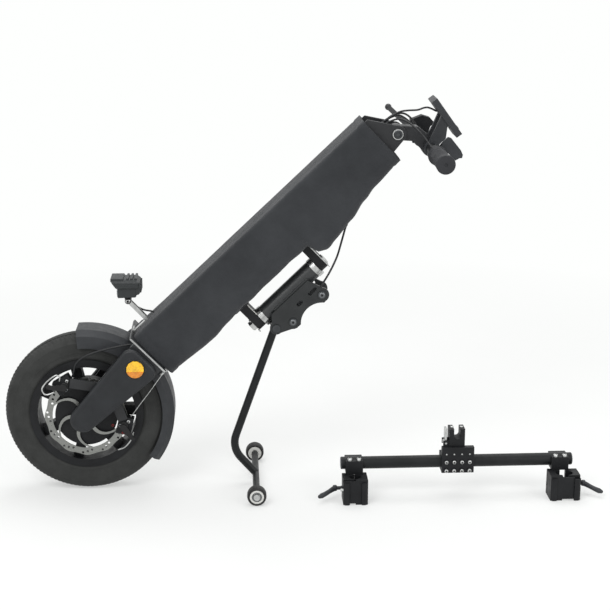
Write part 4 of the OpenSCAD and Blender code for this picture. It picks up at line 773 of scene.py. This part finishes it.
# Tyre: shallow lugs over the crown, ringed sidewalls
LUGS = 118
LUG_LOW_R = 172.5
HALF_TYRE = [(120.4, 20), (120.4, 29.4), (124.4, 29.6), (126.6, 31.4), (129.5, 32.6), (132.5, 32.7),
             (133.6, 31.9), (140, 32.3), (140.6, 32.8), (142, 32.8), (142.6, 32.4), (150, 32.7), (157, 32.2),
             (160.4, 31.6), (161, 32.0), (162.4, 31.6), (163, 30.8), (168, 28.8), (171.5, 26.6),
             (174.2, 24.2), (176.4, 21), (178, 17), (178.9, 13), (177.4, 12.4), (177.6, 10), (179.7, 9.4),
             (180.6, 5), (181, 0)]
INNER_TYRE = [(172, 0), (168, 12), (160, 20), (146, 24), (130, 22)]


def lug(radius, along, turn):
    """Slanted grooves between the lugs, shallower along the middle of the crown."""
    if radius < LUG_LOW_R:
        return 0.0
    slot = (turn * LUGS / (2 * math.pi) + abs(along) * 0.055 + (0.5 if along > 0 else 0)) % 1
    depth = min(1.0, max(0.0, (0.2 - abs(slot - 0.5)) / 0.06))
    return -depth * (1.5 if abs(along) > 11 else 0.8)


outline = ([(r, -y) for r, y in HALF_TYRE] + [(r, y) for r, y in reversed(HALF_TYRE[:-1])]
           + [(r, y) for r, y in reversed(INNER_TYRE)] + [(r, -y) for r, y in INNER_TYRE[1:]])
kit = Kit("tyre_look")
kit.lathe(outline, AXLE, RUBBER, "Y", LUGS * 5, True, lug, 50)
kit.done("wheel", "tyre", "tyre_rubber")


# Wheel, brake and fork
dress("wheel_rim", CAST, 1.2)
dress("motor_cover", CAST, 1.0)
dress("brake_calipers", CAST, 1.4)
dress("caliper_adapters", BLACK, 0.8)
dress("fender", FENDER, 0.9)
dress("fork", BLACK, 1.0)
dress("front_caliper_arm", DARK, 0.6)
dress("rear_caliper_arm", DARK, 0.6)

COVER_IN, COVER_OUT = 72.2, 89.0
cover = around(circle(0, 5, 28) + circle(171, 29, 22) + circle(171, -14, 22))
lip = around(circle(0, 5, 24.5) + circle(167, 26, 22) + circle(167, -11, 22))
kit = Kit("fork_cover_shells")
for side in (-1, 1):
    low, high = sorted((side * COVER_IN, side * COVER_OUT))
    kit.extrude(cover, low, high, COLUMN, COVER, "Y", 6.5, 6)
    low, high = sorted((side * (COVER_OUT - 1.0), side * (COVER_OUT + 0.5)))
    kit.extrude([(s * 0.94 + 4, h * 0.74 + 1) for s, h in lip], low, high, COLUMN, COVER, "Y", 0.6, 3)
    for s, h in ((126, 36), (126, -18)):
        kit.bolt((s, side * (COVER_OUT - 5.2), h), 3.0, 1.4, COLUMN, DARK, "Y", side)
kit.done("column", "fork_covers", "cover_plastic")

# Round reflectors: a moulded holder, a dark rim and a domed prism face in two sectors, the lower sector a
# darker amber as painted shade
kit = Kit("side_reflector_lenses")
REFLECTOR_S, REFLECTOR_H = 164, 8
for side in (-1, 1):
    at = COLUMN @ Matrix.Translation((REFLECTOR_S, side * COVER_OUT, REFLECTOR_H))
    at = at @ Matrix.Diagonal((1, side, 1, 1))
    plate = circle(0, 0, 24.5, 12, 372, 6)
    kit.extrude(plate, -0.4, 1.2, at, LAMP_CASE, "Y", 0.5, 2)
    rim = [(0, 1.0), (20.8, 1.0), (20.8, 2.6), (20.2, 3.2), (19.5, 3.2), (19.2, 2.6), (0, 2.6)]
    kit.lathe(rim, at, DARK, "Y", 64)
    face = [(0, 2.4), (19.2, 2.4), (18.8, 4.0), (12, 5.0), (11.4, 4.4), (6, 4.9), (0, 5.2)]
    kit.lathe(face, at, AMBER, "Y", 12, sharp=4)
    # The lower sector in the darker amber: painted shade.
    kit.extrude(circle(0, 0, 18.6, 150, 302), 2.6, 5.5, at, SHADED_AMBER, "Y", 0.5, 2)
kit.done("column", "side_reflectors", "amber")

# Bright edge of the crown, cable stops and the small brake fittings
kit = Kit("crown_fittings")
for side in (-1, 1):
    low, high = sorted((side * 71.8, side * 73.0))
    kit.block((198.6, low, -45), (202.6, high, 60), COLUMN, STEEL, 0.4, 2)
kit.lathe([(0, 186), (2.6, 186), (3.2, 189), (3.2, 199), (4.4, 200), (4.4, 205), (2.4, 206), (0, 206)],
          COLUMN @ Matrix.Translation((0, -60, -45)), STEEL, "X", 20)
kit.lathe([(0, 182), (3.0, 182), (3.6, 186), (3.6, 195), (0, 196)],
          COLUMN @ Matrix.Translation((0, -52, 42)), DULL, "X", 20)
kit.done("column", None, "steel")

kit = Kit("caliper_springs")
FRONT_SPRING = [(-66, -58, 60), (-76, -59, 56), (-86, -60, 56), (-91, -61, 68), (-85, -61, 79),
                (-74, -61, 90), (-60, -61, 99), (-52, -60, 95), (-53, -59, 85)]
kit.tube(FRONT_SPRING, 1.7, AXLE, STEEL, 12)
REAR_SPRING = [(102, -56, -36), (98, -58, -50), (90, -59, -62), (80, -59, -71), (67, -57, -76)]
kit.tube(REAR_SPRING, 1.5, AXLE, STEEL, 12)
kit.done("column", None, "steel")

# Places of the calipers round the axle, in degrees
FRONT_CALIPER, REAR_CALIPER = 121, -14
kit = Kit("caliper_fasteners")
for angle in (FRONT_CALIPER, REAR_CALIPER):
    at = AXLE @ Matrix.Rotation(math.radians(-angle), 4, "Y")
    for r, across in ((92, 12), (92, -12), (76, 0)):
        kit.bolt((r, -58.2, across), 4.2, 3.0, at, STEEL if across else DULL)
    kit.lathe([(0, -57.6), (9, -57.6), (9, -59.2), (7.4, -60.4), (0, -60.4)],
              at @ Matrix.Translation((84, 0, 0)), DARK, "Y", 28)
for x, z in ((58, -18), (80, -36)):
    kit.bolt((x, -58.4, z), 3.2, 2.4, AXLE, RED)
kit.done("column", None, "steel")

# Headlight: sloped hood with cooling fins, narrower base, rounded back
kit = Kit("headlight_housing")
hood = []
for x_low, x_high, half, z in ((-23.5, 24, 31, 33), (-32.5, 26, 29.5, 45), (-34.8, 20, 24, 51)):
    hood += [(x, y, z) for x in (x_low, x_high) for y in (-half, half)]
kit.wrap(hood, LAMP, LAMP_CASE, 1.4, 3)
HOOD_LIP = ((-35, 46.5), (-35.2, 54), (-8, 54), (-6, 49))
kit.wrap([(x, y, z) for x, z in HOOD_LIP for y in (-25.5, 25.5)], LAMP, LAMP_CASE, 1.0, 2)
base = [(-19.6, 35), (-20.8, 11), (18.4, 12), (20, 16), (22, 36)]
kit.extrude(base, -26.5, 26.5, LAMP, LAMP_CASE, "Y", 2.0, 4)
back = [(18, 17), (26, 19), (29.4, 26), (29.6, 38), (26.5, 46), (18, 48)]
kit.extrude(back, -28, 28, LAMP, LAMP_CASE, "Y", 2.2, 4)
for z in (35, 39, 43):
    for side in (-1, 1):
        flank = 31 - (z - 33) * 0.125
        low, high = sorted((side * (flank - 2), side * (flank + 0.5)))
        kit.block((-23.5 - (z - 34) * 0.72, low, z), (24.5, high, z + 2.4), LAMP, LAMP_CASE, 0.7, 2)
for x in (-1.5, 7.5, 16.5):
    kit.block((x, -24, 47), (x + 5.2, 24, 54.4), LAMP, LAMP_CASE, 1.0, 2)
for y in (-20, -10, 0, 10, 20):
    kit.block((27, y - 1.6, 22), (30.6, y + 1.6, 44), LAMP, LAMP_CASE, 0.8, 2)
kit.extrude(around(circle(0, 0, 6.8) + [(-8.4, 13), (8.4, 13)]), -5, 5, LAMP, LAMP_CASE, "Y", 0.8, 2)
kit.done("headlight", "headlight_case", "cover_plastic")

# Lens set into the lamp's front, with three round optics
kit = Kit("headlight_glass")
glass = [(-21.7, 13.5), (-21.7, 32), (-33.4, 49.6), (-31, 49.6), (-19.4, 32), (-19.4, 13.5)]
kit.extrude(glass, -24, 24, LAMP, LENS, "Y", 0.6, 2)
OPTIC_Z = 22.6
optic = [(0, 20), (6.6, 20), (6.6, 21.9), (5.8, 22.6), (3, 22.9), (0, 23)]
for y in (-15, 0, 15):
    at = LAMP @ Matrix.Translation((0, y, OPTIC_Z)) @ Matrix.Diagonal((-1, 1, 1, 1))
    kit.lathe(optic, at, LENS, "X", 32)
kit.done("headlight", "headlight_lens", "clear_lens")


# Docking head and stand
dress("head_arms", CAST, 1.0)
dress("head_tube", GLOSS, 0.8)
dress("headset", STEEL, 0.7)
dress("dock_plates", PLATE, 1.2, 3)
dress("column_frame", BLACK, 1.0)
dress("stand_leg", TUBE, 0.6)
dress("headlight_bracket", STEEL, 0.6)

KINGPIN_H = -119
HEAD_SEAT, HEAD_END, HEAD_RADIUS, HEAD_SHARE = 610.5, 640, 20, 0.15


def low_head(point):
    """The steering bolt has a low head at its upper end."""
    s, y, h = COLUMN.inverted() @ point
    if HEAD_SEAT < s < HEAD_END and abs(h - KINGPIN_H) < HEAD_RADIUS:
        return COLUMN @ Vector((HEAD_SEAT + (s - HEAD_SEAT) * HEAD_SHARE, y, h))
    return point


def lamp_screw(kit):
    """A dark washer and a bright head on the headlight's pivot."""
    kit.lathe([(4, -8.7), (6.8, -8.7), (6.8, -10.2), (4, -10.2)], LAMP, DARK, "Y", 32, True)
    kit.bolt((0, -10.4, 0), 5.6, 3.2, LAMP, STEEL)


dress("column_bolts", STEEL, 0.7, extra=lamp_screw, shape=low_head)
dress("latch", DULL, 0.6)
dress("bracket_pins", PIN, 1.0)

DOCK_PINS, DOCK_PIN_H, PIN_HEAD_Y = (468, 555), -168, 34
kit = Kit("docking_pin_sockets")
for s in DOCK_PINS:
    for side in (-1, 1):
        kit.bolt((s, side * PIN_HEAD_Y, DOCK_PIN_H), 6.2, 1.8, COLUMN, DULL, "Y", side)
kit.done("dock_bracket", None, "steel")

kit = Kit("head_arm_trim")
for s, low, high, mat in ((608.2, -137, -74, STEEL), (421.2, -104, -74, PALE)):
    kit.block((s - 0.4, -18.4, low), (s + 0.9, -13.5, high), COLUMN, mat, 0.3, 2)
for y, z in ((-14, -134), (14, -134), (-14, -104), (14, -104)):
    kit.bolt((400.8, y, z), 4.0, 2.6, COLUMN, STEEL, "X", -1)
kit.done("column", None, "steel")

ROLLER_X, ROLLER_Z, ROLLER_IN, ROLLER_OUT, ROLLER_RADIUS = 370, 21, 118, 142, 21.0


def roller(name, node, near):
    """A roller with a rubber tread, a pale hub and a metal cap."""
    at = place(ROLLER_X, 0, ROLLER_Z, mirror_y=near)
    kit = Kit(name)
    i, o, r = ROLLER_IN, ROLLER_OUT, ROLLER_RADIUS
    tread = [(15.6, i + 0.4), (18.6, i + 0.4), (20.3, i + 2.2), (r, i + 6), (r, o - 6), (20.3, o - 2.2),
             (18.6, o - 0.4), (16.4, o - 0.4), (15.6, o - 1.6)]
    kit.lathe(tread, at, ROLLER, "Y", 72, True)
    hub = [(7.4, i + 0.8), (15.4, i + 0.8), (15.4, o - 1.2), (14.4, o - 0.5), (11.6, o - 0.5),
           (11.0, o - 1.6), (7.4, o - 1.6)]
    kit.lathe(hub, at, PALE, "Y", 64, True)
    cap = [(7.3, i + 1.4), (10.9, i + 1.4), (10.9, o - 1.5), (10.2, o - 0.8), (8.2, o - 0.8), (7.3, o - 2.4)]
    kit.lathe(cap, at, DULL, "Y", 48, True)
    kit.done(node, node, "roller_rubber")


roller("near_roller_wheel", "near_roller", True)
roller("far_roller_wheel", "far_roller", False)


# Handlebar
dress("stem_arm", BLACK, 2.0, 3)
dress("bar_clamps", CAST, 1.2)
dress("display_case", PLASTIC, 2.2, 3)
dress("throttle_paddle", PLASTIC, 1.6, 3)
dress("brake_lever", BLACK, 1.4, 3)
for button in ("power_button", "plus_button", "minus_button"):
    dress(button, LAMP_CASE, 0.5)

RIBS = 44
RIB_LOW_R, RIB_HIGH_R, RIB_H = 17.2, 17.9, 0.45
GRIP_IN, GRIP_OUT = 120.0, 235.0


def ribs(radius, along, turn):
    """Fine raised lines along the grip, left off its flange and end."""
    if radius < RIB_LOW_R or radius > RIB_HIGH_R:
        return 0.0
    return RIB_H * math.cos(turn * RIBS)


kit = Kit("rubber_grips")
for side in (-1, 1):
    at = BAR @ Matrix.Diagonal((1, side, 1, 1))
    profile = [(11.3, GRIP_IN), (19.2, GRIP_IN), (20.4, GRIP_IN + 1.4), (20.4, GRIP_IN + 4),
               (18.6, GRIP_IN + 5.6), (17.4, GRIP_IN + 8)]
    profile += [(17.4 + 0.2 * (k % 2), GRIP_IN + 10 + k * 7.2) for k in range(11)]
    profile += [(17.4, GRIP_OUT - 26), (18.2, GRIP_OUT - 22), (19.0, GRIP_OUT - 18), (19.6, GRIP_OUT - 3),
                (18.9, GRIP_OUT - 0.8), (17.2, GRIP_OUT), (3.6, GRIP_OUT), (3.0, GRIP_OUT - 1.4),
                (0, GRIP_OUT - 1.4)]
    kit.lathe(profile, at, GRIP, "Y", RIBS * 4, False, ribs, 50)
kit.done("handlebar", "grips", "grip_rubber")

kit = Kit("stem_fittings")
kit.lathe([(0, 0), (4.6, 0), (5.2, 1.2), (5.2, 5.4), (4.2, 6.8), (0, 7.2)],
          STEM @ Matrix.Translation((40, 0, -17)) @ Matrix.Diagonal((1, 1, -1, 1)), BLACK, "Z", 28)
for y in (-9, 9):
    kit.bolt((90, y, -48.5), 3.6, 2.8, STEM, DULL, "Z", -1)
kit.done("handlebar", None, "black_alloy")
kit = Kit("pivot_washers")
for side in (-1, 1):
    at = STEM @ Matrix.Diagonal((1, side, 1, 1))
    kit.lathe([(0, 39.6), (9.4, 39.6), (9.4, 41.2), (8.2, 42.6), (5.2, 42.6), (4.6, 40.8), (0, 40.8)],
              at, PIN, "Y", 40)
    kit.lathe([(9.0, 39.6), (10.9, 39.6), (10.9, 41.0), (9.0, 41.0)], at, STEEL, "Y", 40, True)
kit.done("column", None, "steel")


# Docking bar
dress("centre_block", CAST, 4.0, 4)
dress("hook_clamp", CAST, 1.4, 3)
dress("bar_saddles", CAST, 1.6, 3)
dress("cam_lever", STEEL, 1.0, 3)
dress("dock_bolts", STEEL, 0.5)

kit = Kit("dock_bar_fasteners")
BLOCK_W, BLOCK_H, BLOCK_LOW, BLOCK_HALF = 71, 59, 56, 22
for share in (-0.36, -0.12, 0.12, 0.36):
    for row in (0.1, 0.44):
        spot = (share * BLOCK_W, -BLOCK_HALF - 2.8, BLOCK_LOW + row * BLOCK_H)
        kit.bolt(spot, 4.4, 3.0, DOCK, STEEL, "Y", -1)
for side in (-1, 1):
    for x in (-10, 10):
        kit.bolt((side * CLAMP_X + x, -15, 89.6), 5.2, 3.4, DOCK, STEEL, "Z", 1)
for x in (8.6, -12.4):
    kit.bolt((x, 0, 155), 3.8, 3.0, DOCK, STEEL, "Z", 1)
kit.done("dock_bar", None, "steel")
kit = Kit("tube_plugs")
for side in (-1, 1):
    kit.lathe([(0, 252), (11.0, 252), (11.0, 254), (13.7, 254.1), (13.7, 255.4), (12.6, 256.6), (0, 257)],
              DOCK @ Matrix.Translation((0, 0, DOCK_Z)) @ Matrix.Diagonal((side, 1, 1, 1)), PLASTIC, "X", 40)
kit.done("dock_bar", None, "cover_plastic")


CLAMP_HALF, CLAMP_BACK, BORE_R, SLAB_TOP = 27, 25, 12.7, 51
SCREW_Y, SCREW_Z = 18, 24


def clamp_half(kit, at, way, low, high, front):
    """Half of a chair clamp: a body round half the tube's bore, and its drilled back."""
    bore = circle(0, 0, BORE_R, -87.7, 87.7, 48)
    body = [(0.5, front), *bore, (0.5, 13.6), (CLAMP_HALF, 13.6), (CLAMP_HALF, front)]
    kit.extrude([(way * x, y) for x, y in body], low, high, at, CAST, "Z", 1.4, 2)
    back = [(13.5, low), (CLAMP_BACK, low), (CLAMP_BACK, high), (13.5, high)]
    ends = sorted((way * 0.5, way * CLAMP_HALF))
    kit.extrude(back, *ends, at, CAST, "X", 1.2, 2, holes=[circle(SCREW_Y, SCREW_Z, 3.7, steps=20)])


def clamp_slab(kit, at, way, low, rear):
    """The raised slab on a clamp half's near corner, its outer edge cut slantwise."""
    slab = [(12.5, rear), (12.5, -23), (14, -25), (22, -25), (CLAMP_HALF, rear)]
    kit.extrude([(way * x, y) for x, y in slab], low, SLAB_TOP, at, CAST, "Z", 1.2, 2)


kit = Kit("clamp_bodies")
for at in (LEFT_CLAMP, RIGHT_CLAMP):
    clamp_half(kit, at, -1, 0, 57, -21.2)
    clamp_slab(kit, at, -1, 0, -20.5)
    kit.block((-14, -21.15, 3), (25, -17, 54), at, CAST, 1.0, 2)
kit.done("dock_bar", "chair_clamps", "black_alloy")


def jaw(name, body, at):
    """A sliding jaw, notched for the plate that the clamp's body holds in front of it."""
    kit = Kit(name)
    clamp_half(kit, at, 1, 0.4, 56.6, -14.6)
    clamp_slab(kit, at, 1, 0.4, -21.5)
    for low, high in ((0.4, 30.2), (38.2, SLAB_TOP)):
        kit.block((25.5, -21.8, low), (CLAMP_HALF, -14, high), at, CAST, 0.3, 1)
    kit.done(body, body, "black_alloy")


jaw("left_jaw_body", "left_jaw", LEFT_CLAMP)
jaw("right_jaw_body", "right_jaw", RIGHT_CLAMP @ Matrix.Translation((RIGHT_OPEN, 0, 0)))


def handle(name, body, at, open_by, turn):
    """An adjustable clamping lever: hub, screw and a tapered arm with a rounded end."""
    kit = Kit(name)
    at = at @ Matrix.Translation((open_by, SCREW_Y, SCREW_Z))
    kit.lathe([(0, -14), (3.4, -13), (3.4, 27.4), (0, 27.4)], at, STEEL, "X", 24)
    neck = [(0, 27.4), (4.8, 27.4), (4.8, 29), (4, 30), (4, 37.5), (6, 38.6), (6.8, 40.4), (6.8, 45),
            (5.6, 47), (0, 47.2)]
    kit.lathe(neck, at, PLASTIC, "X", 36)
    swing = at @ Matrix.Translation((27, 0, 0)) @ Matrix.Rotation(math.radians(turn), 4, "X")
    kit.tube([(14, 0, 0), (20, 3.6, 0), (28, 10.4, 0), (38, 18.5, 0), (46, 24, 0), (50.5, 26.8, 0)],
             [5.8, 5.8, 5.0, 5.2, 5.8, 4.2], swing, PLASTIC, 18)
    kit.ball((50.2, 26.6, 0), 4.3, swing, PLASTIC)
    kit.done(body, body, "cover_plastic")


handle("left_clamp_handle", "left_handle", LEFT_CLAMP, 0, 200)
handle("right_clamp_handle", "right_handle", RIGHT_CLAMP, RIGHT_OPEN, 205)


# Camera, light and floor
CAMERA_AT = (-0.1488, -2.9344, 1.2281)
CAMERA_DOWN = 15.5
CAMERA_RIGHT = 3.0
LENS_LENGTH, SENSOR_W = 82.03, 36
camera_data = bpy.data.cameras.new("camera")
camera_data.lens = LENS_LENGTH
camera_data.sensor_width = SENSOR_W
camera = bpy.data.objects.new("camera", camera_data)
camera.location = CAMERA_AT
camera.rotation_euler = (math.radians(90 - CAMERA_DOWN), 0, math.radians(-CAMERA_RIGHT))
bpy.context.scene.collection.objects.link(camera)
bpy.context.scene.camera = camera


def seen_directly(tree):
    """One where the camera sees the surface, also in a mirror or through glass."""
    path = tree.nodes.new("ShaderNodeLightPath")
    total = None
    for ray in ("Is Camera Ray", "Is Glossy Ray", "Is Transmission Ray"):
        if total is None:
            total = path.outputs[ray]
            continue
        n = tree.nodes.new("ShaderNodeMath")
        n.operation = "MAXIMUM"
        tree.links.new(total, n.inputs[0])
        tree.links.new(path.outputs[ray], n.inputs[1])
        total = n.outputs[0]
    return total


BACKDROP = (0.99, 1.0, 0.99, 1)
world = bpy.data.worlds.new("studio")
world.use_nodes = True
tree = world.node_tree
light = tree.nodes["Background"]
light.inputs["Color"].default_value = (1, 1, 1, 1)
light.inputs["Strength"].default_value = 0.5
shown = tree.nodes.new("ShaderNodeBackground")
shown.inputs["Color"].default_value = BACKDROP
mixer = tree.nodes.new("ShaderNodeMixShader")
tree.links.new(seen_directly(tree), mixer.inputs[0])
tree.links.new(light.outputs[0], mixer.inputs[1])
tree.links.new(shown.outputs[0], mixer.inputs[2])
tree.links.new(mixer.outputs[0], tree.nodes["World Output"].inputs["Surface"])
bpy.context.scene.world = world


def lamp(name, at, aim, size, power):
    data = bpy.data.lights.new(name, "AREA")
    data.shape = "DISK"
    data.size = size
    data.energy = power
    obj = bpy.data.objects.new(name, data)
    obj.location = at
    obj.rotation_euler = (Vector(aim) - Vector(at)).to_track_quat("-Z", "Y").to_euler()
    bpy.context.scene.collection.objects.link(obj)


lamp("key", (-1.6, -2.2, 2.9), (0, 0, 0.35), 2.2, 62)
lamp("fill", (2.2, -2.0, 1.6), (0.1, 0, 0.3), 2.0, 26)
lamp("top", (0.2, 0.8, 3.0), (0.1, 0, 0.3), 2.4, 40)

FLOOR, FLOOR_Z = 9.0, -0.0004
floor_mesh = bpy.data.meshes.new("floor")
floor_mesh.from_pydata([(-FLOOR, -FLOOR, 0), (FLOOR, -FLOOR, 0), (FLOOR, FLOOR, 0), (-FLOOR, FLOOR, 0)], [],
                       [(0, 1, 2, 3)])
floor = bpy.data.objects.new("floor", floor_mesh)
floor.location.z = FLOOR_Z
bpy.context.scene.collection.objects.link(floor)
s = Shader("pale_floor", (240, 241, 240), 0.85)
patch = s.noise(1.4, 3.0)
s.mix(s.ramp(patch, 0, 1), (238, 239, 238), (243, 244, 243))
glow = s.node("ShaderNodeEmission")
glow.inputs["Color"].default_value = BACKDROP
far = s.node("ShaderNodeVectorMath", operation="LENGTH")
s.link(s.coords.outputs["Object"], far.inputs[0])
reach = s.node("ShaderNodeMapRange")
reach.inputs["From Min"].default_value = 0.75
reach.inputs["From Max"].default_value = 2.2
reach.inputs["To Min"].default_value = 0.45
reach.inputs["To Max"].default_value = 1.0
s.link(far.outputs["Value"], reach.inputs["Value"])
share = s.math("MULTIPLY", reach.outputs["Result"], seen_directly(s.tree))
blend = s.node("ShaderNodeMixShader")
s.link(share, blend.inputs[0])
s.link(s.bsdf.outputs[0], blend.inputs[1])
s.link(glow.outputs[0], blend.inputs[2])
s.link(blend.outputs[0], s.tree.nodes["Material Output"].inputs["Surface"])
floor_mesh.materials.append(s.mat)
floor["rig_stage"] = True

bpy.context.scene.view_settings.view_transform = "Standard"
bpy.context.view_layer.update()
low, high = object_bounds()
